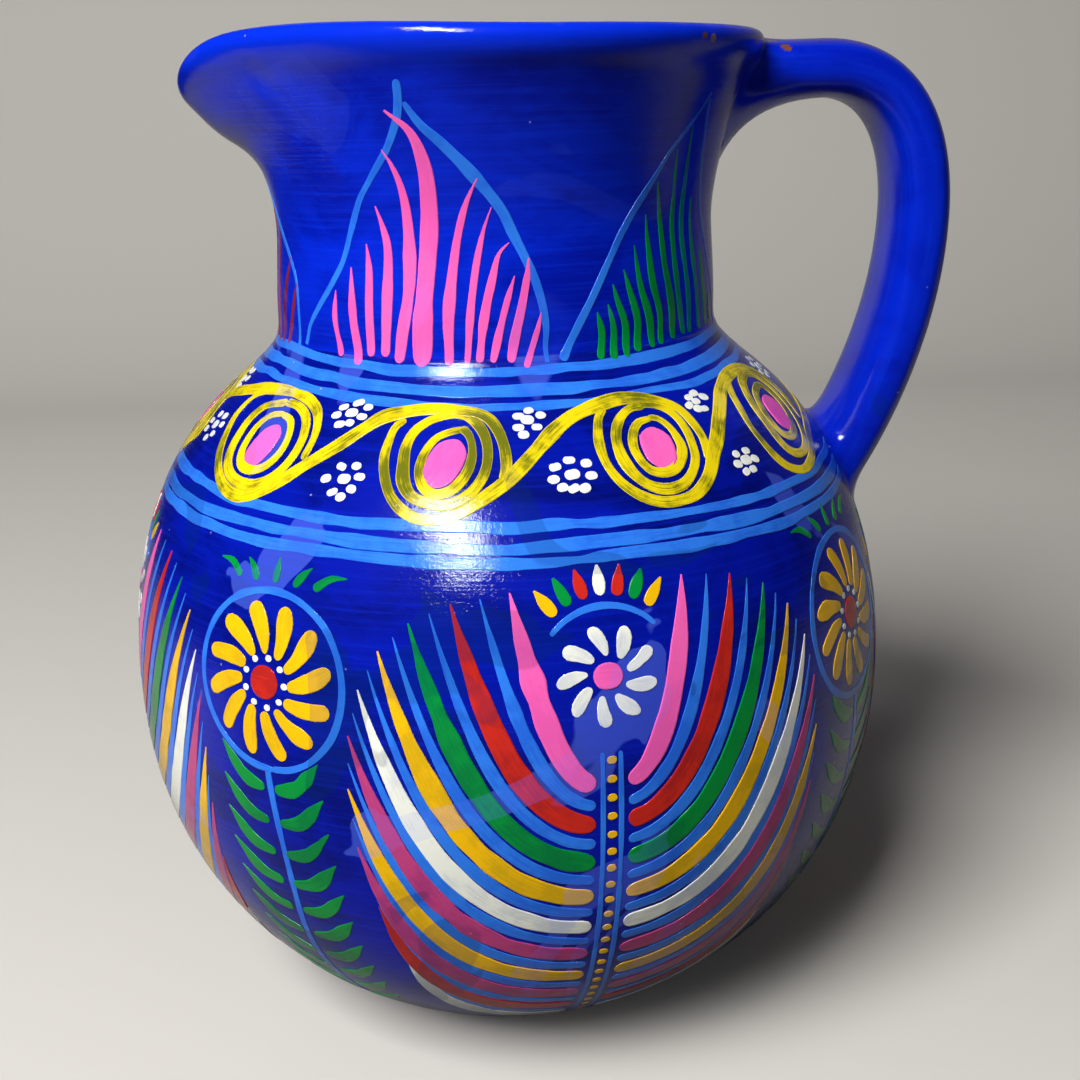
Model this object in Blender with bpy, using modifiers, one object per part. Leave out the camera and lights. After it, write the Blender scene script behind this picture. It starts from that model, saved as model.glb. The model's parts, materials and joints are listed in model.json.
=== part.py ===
# Terracotta pitcher: a round belly, a flaring neck with a pulled spout, and a strap handle
# Origin: centre of the flat underside. +Z up, the handle on +X, the spout on -X. Metres.
import math

import bmesh
import bpy
from mathutils import Vector

# Vessel sizes
HEIGHT = 0.240          # floor to the top of the rim
BELLY_R = 0.0957        # radius at the widest place
BELLY_Z = 0.0916        # height of the widest place
BELLY_FULLNESS = 2.2    # 2 is an ellipse, more is squarer
BASE_R = 0.036          # radius of the flat underside
NECK_R = 0.0524         # narrowest radius of the neck
SHOULDER_RISE = 0.0790  # from the widest place up to where the belly's curve would meet the neck
SHOULDER_FILLET = 0.016  # reach of the soft corner between belly and neck
FLARE_H = 0.042         # height of the part of the neck that opens, up to the rim's top
MOUTH_R = 0.066         # radius that the flare aims at, at full height
FLARE_POWER = 1.7       # more turns the lip out later
WALL = 0.006            # thickness of the clay
GAP = 0.0003            # clearance between two pieces

# Rim and seams
RIM_H = 0.008           # height of the rolled rim
RIM_SWELL = 0.0011      # how far the roll stands out on each side of the wall
NECK_SEAM_RISE = 0.0039  # the neck is set on the shoulder this far above their meeting
COIL_H = 0.016          # height of a luting coil inside a seam
COIL_T = 0.003          # thickness of a luting coil at its middle
COIL_EDGE = 0.0007      # thickness of a luting coil at its edges

# Spout, pulled from the soft neck
SPOUT_REACH = 0.0075    # how far the lip goes out
SPOUT_DROOP = 0.0085    # how far the lip sinks below the rim
SPOUT_SPREAD = 30.0     # half width of the pulled part, in degrees
SPOUT_POWER = 2.4       # more gives a broader front and quicker sides
SPOUT_H = 0.033         # the pull starts this far below the rim's top
SPOUT_FULL_H = 0.005    # and is full from this far below it
PINCH_DEPTH = 0.0014    # the hollow that two fingers leave beside the spout
PINCH_TURN = 50.0       # where it lies, in degrees from the spout
PINCH_SPREAD = 15.0

# Handle: a pulled strap with broad faces
STRAP_W = 0.028         # across the handle
STRAP_T = 0.0130        # through the handle
STRAP_SQUARE = 2.8      # 2 is an oval, more gives flatter faces
STRAP_TAIL_RATIO = 1.13  # how much the strap thickens towards its lower end
STRAP_BELOW_RIM = 0.0023  # the strap's upper face lies this far under the rim's top
CREST_OUT = 0.013       # the strap runs level to this far beyond the mouth's radius
HANDLE_OUT = 0.0079     # centre line at its farthest, out beyond the belly's widest radius
HANDLE_TURN_H = 0.0332  # that place lies this far below the level stretch
TAIL_RISE = 0.0449      # the centre line meets the belly this far above the widest place
TAIL_SLOPE = 53.0       # direction of the tail there, in degrees below level
TAIL_SINK = 0.012       # length of the tail that lies behind the belly's surface, cut off
CREST_EASE = 0.40       # softness of the bends, as shares of each stretch
TURN_EASE = 0.48
BACK_EASE = 0.33
TAIL_EASE = 0.32

# Clay pressed round the ends of the handle
WAD_REACH = 0.012       # length of a wad along the strap
WAD_FLARE_RATIO = 1.62  # width of a wad on the vessel, in strap widths
WAD_LIP_RATIO = 1.10    # width of its thin edge, in strap widths
WAD_DROP = 0.0060       # how far the upper wad hangs below the strap's centre line
WAD_SINK = 0.008        # depth of a wad's blank behind the vessel's surface, cut off
WAD_CURVE = 2.7         # more makes the wad hug the vessel

# Facets
TURN_STEPS = 64         # round the vessel
BELLY_STEPS = 9         # along one bowl
NECK_STEPS = 13         # along the neck
RIM_STEPS = 12          # round the rim's roll
COIL_STEPS = 5          # along a luting coil
STRAP_SIDES = 20        # round the strap
TOP_STEPS, CREST_STEPS, BACK_STEPS = 4, 10, 12    # along the three stretches of the strap
WAD_STEPS = 7           # along a wad

# Paint and clay, linear colours
COBALT = (0.006, 0.010, 0.62)
NAVY = (0.004, 0.006, 0.25)
CLAY = (0.46, 0.17, 0.075)


for old in list(bpy.data.objects):
    bpy.data.objects.remove(old, do_unlink=True)

PITCHER = bpy.data.collections.new("terracotta_pitcher")
CUTTERS = bpy.data.collections.new("cutters")
for group in (PITCHER, CUTTERS):
    bpy.context.scene.collection.children.link(group)


def surface(name, colour, roughness):
    mat = bpy.data.materials.new(name)
    mat.use_nodes = True
    shader = mat.node_tree.nodes["Principled BSDF"]
    shader.inputs["Base Color"].default_value = (*colour, 1.0)
    shader.inputs["Roughness"].default_value = roughness
    shader.inputs["Metallic"].default_value = 0.0
    mat.diffuse_color = (*colour, 1.0)
    return mat


def add(name, data, group=PITCHER):
    obj = bpy.data.objects.new(name, data)
    group.objects.link(obj)
    if group is CUTTERS:
        obj.hide_render = True
        obj.display_type = "WIRE"
    return obj


def steps(start, end, count):
    return [start + (end - start) * i / count for i in range(count + 1)]


# The vessel's shape

def meeting_reach(height, radius):
    # Half height of the belly's curve that has this radius at this height above or below its middle
    return height / (1 - (radius / BELLY_R) ** BELLY_FULLNESS) ** (1 / BELLY_FULLNESS)


BOWL_DROP = meeting_reach(BELLY_Z, BASE_R)
BOWL_RISE = meeting_reach(SHOULDER_RISE, NECK_R)
NECK_SEAM_Z = BELLY_Z + SHOULDER_RISE + NECK_SEAM_RISE


def body_radius(z):
    reach = BOWL_DROP if z < BELLY_Z else BOWL_RISE
    u = min(abs(z - BELLY_Z) / reach, 1.0)
    bowl = BELLY_R * (1 - u ** BELLY_FULLNESS) ** (1 / BELLY_FULLNESS)
    if z < BELLY_Z:
        return bowl
    opening = max(z - HEIGHT + FLARE_H, 0.0) / FLARE_H
    neck = NECK_R + (MOUTH_R - NECK_R) * opening ** FLARE_POWER
    soft = max(SHOULDER_FILLET - abs(bowl - neck), 0.0)
    return max(bowl, neck) + soft * soft / (4 * SHOULDER_FILLET)


def slope(z):
    return (body_radius(z + GAP) - body_radius(z - GAP)) / (2 * GAP)


def into_wall(z, depth):
    # The point at this depth behind the outer surface, square to it
    lean = slope(z)
    length = math.hypot(1.0, lean)
    return body_radius(z) - depth / length, z + depth * lean / length


def radius_at_depth(z, depth):
    # Radius, at height z, of the surface that lies this deep in the wall
    low, high = z - 2 * depth, z + 2 * depth
    for _ in range(40):
        middle = (low + high) / 2
        if into_wall(middle, depth)[1] < z:
            low = middle
        else:
            high = middle
    return into_wall(middle, depth)[0]


def belly_heights(start, end, count):
    # Heights that lie closer together where the belly's curve turns level
    reach = BOWL_DROP if end < BELLY_Z or start < BELLY_Z else BOWL_RISE
    turn = [math.asin((z - BELLY_Z) / reach) for z in (start, end)]
    return [BELLY_Z + reach * math.sin(a) for a in steps(*turn, count)]


def wall_ring(heights):
    # A length of wall between two level seams: down the outside, up the inside
    outside = [(body_radius(z), z) for z in heights]
    inside = [(radius_at_depth(z, WALL), z) for z in reversed(heights)]
    return outside + inside


# The rim's roll sits on the neck and leans with its flare
RIM_SEAM_Z = HEIGHT - RIM_H
RIM_LEAN = slope(RIM_SEAM_Z)
SEAM_OUT = body_radius(RIM_SEAM_Z)
SEAM_IN = radius_at_depth(RIM_SEAM_Z, WALL)
ROLL_HALF_W = (SEAM_OUT - SEAM_IN) / 2 + RIM_SWELL
ROLL_START = math.acos((SEAM_OUT - SEAM_IN) / 2 / ROLL_HALF_W)
ROLL_HALF_H = (RIM_H - GAP / 2) / (1 + math.sin(ROLL_START))
ROLL_MID_R = (SEAM_OUT + SEAM_IN) / 2
ROLL_MID_Z = HEIGHT - ROLL_HALF_H


def roll_point(angle, grow=0.0):
    rise = (ROLL_HALF_H + grow) * math.sin(angle)
    across = (ROLL_HALF_W + grow) * math.cos(angle)
    z = ROLL_MID_Z + rise
    return ROLL_MID_R + across + RIM_LEAN * (z - RIM_SEAM_Z), z


def turned(name, ring, group=PITCHER):
    # A closed outline, or one that starts and ends on the axis, turned about +Z
    mesh = bpy.data.meshes.new(name)
    count = len(ring)
    on_axis = ring[0][0] == 0.0
    edges = [(i, (i + 1) % count) for i in range(count - 1 if on_axis else count)]
    mesh.from_pydata([(r, 0.0, z) for r, z in ring], edges, [])
    obj = add(name, mesh, group)
    screw = obj.modifiers.new("turn", "SCREW")
    screw.axis = "Z"
    screw.angle = 2 * math.pi
    screw.steps = screw.render_steps = TURN_STEPS
    screw.use_merge_vertices = True
    screw.merge_threshold = 0.00001
    screw.use_smooth_shade = True
    return obj


def pull_spout(obj):
    # Turns the modifiers into a mesh, then draws the lip out and down and pinches its sides
    graph = bpy.context.evaluated_depsgraph_get()
    mesh = bpy.data.meshes.new_from_object(obj.evaluated_get(graph))
    obj.modifiers.clear()
    obj.data = mesh
    for vertex in mesh.vertices:
        x, y, z = vertex.co
        r = math.hypot(x, y)
        turn = abs(math.degrees(math.atan2(y, -x)))
        t = min(max((z - HEIGHT + SPOUT_H) / (SPOUT_H - SPOUT_FULL_H), 0.0), 1.0)
        lift = (t * t * (3 - 2 * t)) ** 1.25
        front = math.exp(-((turn / SPOUT_SPREAD) ** SPOUT_POWER)) * lift
        side = math.exp(-(((turn - PINCH_TURN) / PINCH_SPREAD) ** 2)) * lift
        pulled = r + SPOUT_REACH * front - PINCH_DEPTH * side
        vertex.co = (x * pulled / r, y * pulled / r, z - SPOUT_DROOP * front)


# Base: a slab that closes the lower bowl, flat underneath
joint_top = into_wall(0.0, WALL)
base_disc = turned("base_disc", [
    (0.0, joint_top[1]),
    (joint_top[0] - GAP, joint_top[1]),
    (BASE_R - GAP, 0.0),
    (0.0, 0.0),
])

# Lower bowl: from the slab to the widest place
seam_low = BELLY_Z - GAP / 2
lower_bowl = turned("lower_bowl",
                    [(body_radius(z), z) for z in belly_heights(seam_low, 0.0, BELLY_STEPS)]
                    + [joint_top]
                    + [(radius_at_depth(z, WALL), z)
                       for z in belly_heights(joint_top[1], seam_low, BELLY_STEPS)[1:]])

# Upper bowl: from the widest place to the neck seam
upper_bowl = turned("upper_bowl", wall_ring(
    belly_heights(NECK_SEAM_Z - GAP / 2, BELLY_Z + GAP / 2, BELLY_STEPS)))

# Neck, with the spout pulled from its edge
neck_wall = turned("neck_wall", wall_ring(
    steps(RIM_SEAM_Z - GAP / 2, NECK_SEAM_Z + GAP / 2, NECK_STEPS)))
pull_spout(neck_wall)

# Rim: a roll of clay on the neck's edge, drawn out with the spout
roll = [roll_point(a) for a in steps(math.pi + ROLL_START, -ROLL_START, RIM_STEPS)]
rim_coil = turned("rim_coil", roll)
pull_spout(rim_coil)


# Luting coils: clay pressed over each seam from inside

def luting_coil(name, seam):
    heights = steps(seam + COIL_H / 2, seam - COIL_H / 2, COIL_STEPS)
    back = WALL + GAP
    outside = [(radius_at_depth(z, back), z) for z in heights]
    inside = []
    for z in reversed(heights):
        swell = 1 - ((z - seam) / (COIL_H / 2)) ** 2
        inside.append((radius_at_depth(z, back + COIL_EDGE + (COIL_T - COIL_EDGE) * swell), z))
    return turned(name, outside + inside)


belly_seam_coil = luting_coil("belly_seam_coil", BELLY_Z)
neck_seam_coil = luting_coil("neck_seam_coil", NECK_SEAM_Z)


# Handle: a strap section carried along a curve in the plane of symmetry

def bezier(a, b, c, d, count):
    points = []
    for t in steps(0.0, 1.0, count):
        s = 1 - t
        points.append(a * s ** 3 + b * 3 * s * s * t + c * 3 * s * t * t + d * t ** 3)
    return points


def strap_section():
    curve = bpy.data.curves.new("strap_section", "CURVE")
    curve.dimensions = "2D"
    spline = curve.splines.new("POLY")
    spline.points.add(STRAP_SIDES - 1)
    for i, point in enumerate(spline.points):
        a = 2 * math.pi * (i + 0.5) / STRAP_SIDES
        x = math.copysign(abs(math.cos(a)) ** (2 / STRAP_SQUARE), math.cos(a)) * STRAP_W / 2
        y = math.copysign(abs(math.sin(a)) ** (2 / STRAP_SQUARE), math.sin(a)) * STRAP_T / 2
        point.co = (x, y, 0.0, 1.0)
    spline.use_cyclic_u = True
    return add("strap_section", curve, CUTTERS)


SECTION = strap_section()


def swept(name, path, sizes, group=PITCHER):
    # The strap's section along a path in the XZ plane, scaled by sizes, as one closed mesh
    curve = bpy.data.curves.new(name, "CURVE")
    curve.dimensions = "3D"
    curve.twist_mode = "MINIMUM"
    curve.bevel_mode = "OBJECT"
    curve.bevel_object = SECTION
    curve.use_fill_caps = True
    spline = curve.splines.new("POLY")
    spline.points.add(len(path) - 1)
    for point, (x, z), size in zip(spline.points, path, sizes):
        point.co = (x, 0.0, z, 1.0)
        point.radius = size
    return as_mesh(add(name, curve, group), group)


def as_mesh(obj, group):
    name = obj.name
    graph = bpy.context.evaluated_depsgraph_get()
    mesh = bpy.data.meshes.new_from_object(obj.evaluated_get(graph))
    place = obj.matrix_world.copy()
    bpy.data.objects.remove(obj, do_unlink=True)
    work = bmesh.new()
    work.from_mesh(mesh)
    bmesh.ops.remove_doubles(work, verts=work.verts, dist=0.00001)
    bmesh.ops.recalc_face_normals(work, faces=work.faces)
    work.to_mesh(mesh)
    work.free()
    mesh.name = name
    solid = add(name, mesh, group)
    solid.matrix_world = place
    return solid


def cut(obj, cutter):
    boolean = obj.modifiers.new("cut by " + cutter.name, "BOOLEAN")
    boolean.operation = "DIFFERENCE"
    boolean.solver = "EXACT"
    boolean.object = cutter


# Three stretches: level from the rim, over the crest, down the back to the belly
top_line = HEIGHT - STRAP_BELOW_RIM - STRAP_T / 2
root = Vector((SEAM_IN - WALL, top_line))
crest = Vector((MOUTH_R + CREST_OUT, top_line))
out = Vector((BELLY_R + HANDLE_OUT, top_line - HANDLE_TURN_H))
tail_way = Vector((-math.cos(math.radians(TAIL_SLOPE)), -math.sin(math.radians(TAIL_SLOPE))))
landing = Vector((body_radius(BELLY_Z + TAIL_RISE), BELLY_Z + TAIL_RISE))
tail = landing + tail_way * TAIL_SINK
level, down = Vector((1.0, 0.0)), Vector((0.0, -1.0))

top, bend, back = (crest - root).length, (out - crest).length, (tail - out).length
path = bezier(root, root + level * top / 3, crest - level * top / 3, crest, TOP_STEPS)
path += bezier(crest, crest + level * bend * CREST_EASE, out - down * bend * TURN_EASE, out,
               CREST_STEPS)[1:]
path += bezier(out, out + down * back * BACK_EASE, tail - tail_way * back * TAIL_EASE, tail,
               BACK_STEPS)[1:]
grow = steps(1.0, STRAP_TAIL_RATIO, len(path) - 1)

handle_strap = swept("handle_strap", path, grow)
clear = 1 + 2 * GAP / STRAP_T
strap_room = swept("strap_room", path, [g * clear for g in grow], CUTTERS)


# Wads: a flared blank of the strap's own section, fitted to the vessel and to the strap

def wad(name, thin, thick, thin_size, thick_size, sag):
    line, sizes = [], []
    for t in steps(0.0, 1.0, WAD_STEPS):
        place = thin.lerp(thick, t)
        place.y -= sag * t ** WAD_CURVE
        line.append(place)
        sizes.append(thin_size + (thick_size - thin_size) * t ** WAD_CURVE)
    return swept(name, line, sizes)


upper_start = Vector((SEAM_OUT + WAD_REACH, top_line))
upper_end = Vector((SEAM_OUT - WAD_SINK, top_line))
upper_handle_wad = wad("upper_handle_wad", upper_start, upper_end, WAD_LIP_RATIO,
                       WAD_FLARE_RATIO, WAD_DROP)

lower_start = landing - tail_way * WAD_REACH
lower_end = landing + tail_way * WAD_SINK
lower_handle_wad = wad("lower_handle_wad", lower_start, lower_end,
                       WAD_LIP_RATIO * STRAP_TAIL_RATIO, WAD_FLARE_RATIO * STRAP_TAIL_RATIO, 0.0)

# What the strap and its wads must fit: the whole outside of the vessel, with its clearance
outline = [(0.0, HEIGHT + GAP)]
outline += [(roll_point(a, GAP)) for a in steps(math.pi / 2, -ROLL_START / 2, RIM_STEPS // 2)]
stations = steps(RIM_SEAM_Z, NECK_SEAM_Z, NECK_STEPS)
stations += belly_heights(NECK_SEAM_Z, BELLY_Z, BELLY_STEPS)[1:]
outline += [(body_radius(z) + GAP * math.hypot(1.0, slope(z)), z) for z in stations]
outline += [(0.0, BELLY_Z)]
vessel_room = turned("vessel_room", outline, CUTTERS)

for piece in (handle_strap, upper_handle_wad, lower_handle_wad):
    cut(piece, vessel_room)
for piece in (upper_handle_wad, lower_handle_wad):
    cut(piece, strap_room)

# Paint on what shows, bare clay inside and underneath
FINISH = {
    "painted_neck_blue": (COBALT, 0.28, (neck_wall, rim_coil, handle_strap, upper_handle_wad)),
    "painted_belly_blue": (NAVY, 0.25, (lower_bowl, upper_bowl, lower_handle_wad)),
    "bare_terracotta": (CLAY, 0.85, (base_disc, belly_seam_coil, neck_seam_coil)),
}
for label, (colour, roughness, pieces) in FINISH.items():
    mat = surface(label, colour, roughness)
    for piece in pieces:
        piece.data.materials.clear()
        piece.data.materials.append(mat)
        if piece.data.polygons:
            piece.data.shade_smooth()
            piece.data.set_sharp_from_angle(angle=math.radians(35))
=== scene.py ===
"""A brush-painted terracotta pitcher, dressed over its CAD frame. Metres, +Z up, the handle on +X, the spout on -X."""

import json
import math
from functools import partial

import bmesh
import bpy
import numpy as np
from mathutils import Matrix, Vector

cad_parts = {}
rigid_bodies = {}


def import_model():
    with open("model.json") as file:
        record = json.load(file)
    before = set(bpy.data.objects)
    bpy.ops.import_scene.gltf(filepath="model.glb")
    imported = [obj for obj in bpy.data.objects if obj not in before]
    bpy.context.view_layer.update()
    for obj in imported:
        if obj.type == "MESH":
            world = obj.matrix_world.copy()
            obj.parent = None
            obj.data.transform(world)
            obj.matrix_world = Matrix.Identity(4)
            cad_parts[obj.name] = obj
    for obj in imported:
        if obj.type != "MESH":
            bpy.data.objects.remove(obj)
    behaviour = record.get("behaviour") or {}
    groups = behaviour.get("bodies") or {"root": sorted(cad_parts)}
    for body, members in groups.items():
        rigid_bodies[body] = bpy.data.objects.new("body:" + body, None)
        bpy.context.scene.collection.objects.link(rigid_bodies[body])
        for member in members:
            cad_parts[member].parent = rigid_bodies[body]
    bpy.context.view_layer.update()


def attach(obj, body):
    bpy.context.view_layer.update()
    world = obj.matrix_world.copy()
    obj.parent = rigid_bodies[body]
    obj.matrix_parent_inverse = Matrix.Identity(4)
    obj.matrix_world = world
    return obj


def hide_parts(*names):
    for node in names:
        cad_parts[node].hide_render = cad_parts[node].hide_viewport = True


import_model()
scene = bpy.context.scene


# --- Clay body -------------------------------------------------------------------------------------
# The thrown and luted pot itself: a flat slab foot, a globe-shaped belly, a flaring neck with a
# rolled lip and a pulled spout, fired as one piece of terracotta. Bare clay shows only inside and
# underneath, because everything else is painted.

HEIGHT, WALL = 0.240, 0.006
BELLY_R, BELLY_Z, BELLY_FULLNESS, BASE_R = 0.0957, 0.0916, 2.2, 0.036
NECK_R, SHOULDER_RISE, SHOULDER_FILLET = 0.0524, 0.0790, 0.010
NECK_SPREAD, SPREAD_FROM, SPREAD_H = 0.0012, 0.202, 0.024    # the neck widens a little towards its foot
FLARE_H, MOUTH_R, FLARE_POWER = 0.042, 0.066, 1.7
RIM_H, RIM_SWELL = 0.008, 0.0011
NECK_SEAM_Z = BELLY_Z + SHOULDER_RISE + 0.0039
SEAM_SWELL, SEAM_SWELL_H = 0.003, 0.008      # clay pressed over a seam inside, and half its height
FOOT_ROUND = 0.0022                          # rounding of the foot's edge
FOOT_HOLLOW, FOOT_RING = 0.0006, 0.006       # how far the underside is scraped hollow, and the slope's width
COAT = 0.00025                               # thickness of the ground coat of paint
LINE_STEP = 0.0003                           # between the points of the outline


def eased(t):
    """0 up to 0, 1 from 1 on, and no corner on the way."""
    t = np.clip(t, 0, 1)
    return t * t * (3 - 2 * t)


def curve_reach(height, radius):
    return height / (1 - (radius / BELLY_R) ** BELLY_FULLNESS) ** (1 / BELLY_FULLNESS)


def thrown_radius(z):
    """The outline: a belly of two half superellipses, and a neck that flares."""
    low, high = curve_reach(BELLY_Z, BASE_R), curve_reach(SHOULDER_RISE, NECK_R)
    u = min(abs(z - BELLY_Z) / (low if z < BELLY_Z else high), 1.0)
    bowl = BELLY_R * (1 - u ** BELLY_FULLNESS) ** (1 / BELLY_FULLNESS)
    if z < BELLY_Z:
        return bowl
    opening = max(z - HEIGHT + FLARE_H, 0.0) / FLARE_H
    neck = NECK_R + (MOUTH_R - NECK_R) * opening ** FLARE_POWER + NECK_SPREAD * eased((SPREAD_FROM - z) / SPREAD_H)
    soft = max(SHOULDER_FILLET - abs(bowl - neck), 0.0)
    return max(bowl, neck) + soft * soft / (4 * SHOULDER_FILLET)


def lean_at(z):
    return (thrown_radius(z + LINE_STEP) - thrown_radius(z - LINE_STEP)) / (2 * LINE_STEP)


def behind(z, depth):
    lean = lean_at(z)
    length = math.hypot(1.0, lean)
    return thrown_radius(z) - depth / length, z + depth * lean / length


def arc(a, b, c, t):
    """Points of a curve that leaves a towards b and reaches c from b."""
    a, b, c = (np.array(p, float) for p in (a, b, c))
    t = t[:, None]
    return a * (1 - t) ** 2 + 2 * b * t * (1 - t) + c * t * t


def soften(line, reach=5, passes=3):
    """Rounds the corners of a dense line of points without moving its ends."""
    for _ in range(passes):
        near = [line[reach + k:len(line) - reach + k] for k in range(-reach, reach + 1)]
        line[reach:-reach] = sum(near) / len(near)
    return line


def run_along(line):
    return np.r_[0.0, np.cumsum(np.linalg.norm(np.diff(line, axis=0), axis=1))]


def evenly(line, step):
    line = np.array(line, float)
    run = run_along(line)
    at = np.linspace(0.0, run[-1], max(2, int(round(run[-1] / step)) + 1))
    return np.stack([np.interp(at, run, column) for column in line.T], axis=1)


rim_seam = HEIGHT - RIM_H
inner_face = np.array([behind(z, WALL) for z in np.linspace(0.21, 0.239, 200)])
lip_out, lip_in = thrown_radius(rim_seam), np.interp(rim_seam, inner_face[:, 1], inner_face[:, 0])
roll_w = (lip_out - lip_in) / 2 + RIM_SWELL
roll_from = math.acos((lip_out - lip_in) / 2 / roll_w)
roll_h = RIM_H / (1 + math.sin(roll_from))

underside = [(x, FOOT_HOLLOW * min((BASE_R - FOOT_ROUND - x) / FOOT_RING, 1.0))
             for x in np.linspace(0, BASE_R - FOOT_ROUND, 60)]
foot = arc((BASE_R - FOOT_ROUND, 0.0), (BASE_R, 0.0), (thrown_radius(FOOT_ROUND), FOOT_ROUND), np.linspace(0, 1, 12))
outside = [(thrown_radius(z), z) for z in np.linspace(FOOT_ROUND, rim_seam, 700)[1:]]
roll, inside = [], []
for a in np.linspace(-roll_from, math.pi + roll_from, 60):
    z = HEIGHT - roll_h + roll_h * math.sin(a)
    roll.append(((lip_out + lip_in) / 2 + roll_w * math.cos(a) + lean_at(rim_seam) * (z - rim_seam), z))
for z in np.linspace(rim_seam, 0.0005, 700):
    swell = sum(max(1 - ((z - seam) / SEAM_SWELL_H) ** 2, 0.0) ** 2 for seam in (NECK_SEAM_Z, BELLY_Z))
    inside.append(behind(z, WALL + SEAM_SWELL * swell))
inside = [p for p in inside if p[1] > WALL + 0.001]
floor_in = [(inside[-1][0] - 0.003, WALL), (0.0, WALL)]

outline = underside[:-1] + list(foot) + outside + roll + inside
painted_line, clay_line = (soften(evenly(line, LINE_STEP)) for line in (outline, outline + floor_in))
clay_line[0, 0] = clay_line[-1, 0] = 0.0
clay_line[:, 0] = np.maximum(clay_line[:, 0], 0.0)
run_of_line = run_along(painted_line)
top_of_line = int(np.argmax(painted_line[:, 1]))
foot_of_line = int(np.argmax(painted_line[:, 0] > BASE_R - 0.0012))
side_line, side_run = painted_line[foot_of_line:top_of_line], run_of_line[foot_of_line:top_of_line]


def linear(colour):
    """An sRGB hex value as a linear colour."""
    parts = [int(colour[i:i + 2], 16) / 255 for i in (1, 3, 5)]
    return tuple(c / 12.92 if c <= 0.04045 else ((c + 0.055) / 1.055) ** 2.4 for c in parts) + (1.0,)


def fill(made, values):
    """Sets a node's inputs, by name or number, to values, or links sockets to them."""
    for key, value in values.items():
        if isinstance(value, bpy.types.NodeSocket):
            made.id_data.links.new(value, made.inputs[key])
        else:
            made.inputs[key].default_value = value


def node(tree, kind, *values, get=0, **settings):
    """Adds a node and gives one of its outputs, or all for get=None.

    The kind may leave out ShaderNode, and may end in a colon and the operation. The values are its inputs in
    order, or one dictionary of them.
    """
    kind, _, operation = kind.partition(":")
    made = tree.nodes.new(kind if kind.startswith(("Geometry", "NodeGroup")) else "ShaderNode" + kind)
    for name, value in (dict(settings, operation=operation) if operation else settings).items():
        setattr(made, name, value)
    fill(made, values[0] if values and isinstance(values[0], dict) else dict(enumerate(values)))
    return made.outputs if get is None else made.outputs[get]


SOFT = {"interpolation_type": "SMOOTHSTEP"}  # for a Map Range: 0 at its first value, 1 at its second
COLOUR = {"data_type": "RGBA", "get": 2}     # for a Mix: the colour of input 6 at 0, of input 7 at 1


def new_tree(name, **sockets):
    """A Geometry Nodes tree, what adds nodes to it, and its named inputs."""
    tree = bpy.data.node_groups.new(name, "GeometryNodeTree")
    for label, kind in {"Geometry": "Geometry", **sockets}.items():
        tree.interface.new_socket(label.replace("_", " "), in_out="INPUT", socket_type="NodeSocket" + kind)
    tree.interface.new_socket("Geometry", in_out="OUTPUT", socket_type="NodeSocketGeometry")
    return tree, partial(node, tree), node(tree, "NodeGroupInput", get=None)


def close_tree(add, geometry, paint):
    geometry = add("GeometryNodeRealizeInstances", add("GeometryNodeSetShadeSmooth", geometry))
    add("NodeGroupOutput", add("GeometryNodeSetMaterial", {0: geometry, "Material": paint}), get=None)


def grown(name, tree, points, edges, attributes=(), finish=None, **inputs):
    """Runs a Geometry Nodes tree on a wire of points and edges, and keeps the result as a plain mesh."""
    wire = bpy.data.meshes.new(name)
    wire.from_pydata([tuple(map(float, p)) for p in points], edges, [])
    for label, (kind, values) in dict(attributes).items():
        layer = wire.attributes.new(label, kind, "POINT")
        layer.data.foreach_set("vector" if kind == "FLOAT_VECTOR" else "value", np.asarray(values, np.float32).ravel())
    obj = bpy.data.objects.new(name, wire)
    scene.collection.objects.link(obj)
    growing = obj.modifiers.new("growing", "NODES")
    growing.node_group = tree
    sockets = {s.name: s.identifier for s in tree.interface.items_tree if s.in_out == "INPUT"}
    for label, value in inputs.items():
        growing[sockets[label.replace("_", " ")]] = value
    if finish:
        finish(obj)
    obj.update_tag()
    mesh = bpy.data.meshes.new_from_object(obj.evaluated_get(bpy.context.evaluated_depsgraph_get()))
    obj.modifiers.clear()
    obj.data = mesh
    mesh.name = name
    return obj


# Tree: a line of (radius, 0, height) turned about +Z, with its two ends cut ragged as a brush leaves them
turning, add, given = new_tree(
    "turned_on_the_wheel", Start="Float", End="Float", Steps="Int", Rows="Int",
    Ragged_Start="Float", Ragged_End="Float", Seed="Float", Paint="Material")
grid = add("GeometryNodeMeshGrid", {
    "Vertices X": add("Math:ADD", given["Steps"], 1), "Vertices Y": add("Math:ADD", given["Rows"], 1)})
at = add("SeparateXYZ", add("GeometryNodeInputPosition"), get=None)
turn = add("Math:MULTIPLY", add("Math:ADD", at["X"], 0.5), 2 * math.pi)
along = add("Math:ADD", at["Y"], 0.5)
sine, cosine = add("Math:SINE", turn), add("Math:COSINE", turn)
ring = add("CombineXYZ", cosine, sine, given["Seed"])
ends = []
for end, scale in (("Start", 5.0), ("End", 4.0)):
    waver = add("Math:SUBTRACT", add("TexNoise", {"Vector": ring, "Scale": scale, "Detail": 3.0}), 0.5)
    ends.append(add("Math:MULTIPLY_ADD", waver, given["Ragged " + end], given[end]))
length = add("Math:MULTIPLY_ADD", along, add("Math:SUBTRACT", ends[1], ends[0]), ends[0])
line = add("GeometryNodeMeshToCurve", given["Geometry"])
on_line = add("GeometryNodeSampleCurve", {"Curves": line, "Length": length}, get="Position", mode="LENGTH",
              use_all_curves=True)
on_line = add("SeparateXYZ", on_line, get=None)
moved = add("CombineXYZ", add("Math:MULTIPLY", on_line["X"], cosine), add("Math:MULTIPLY", on_line["X"], sine),
            on_line["Z"])
formed = add("GeometryNodeSetPosition", {0: grid, "Position": moved})
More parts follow.
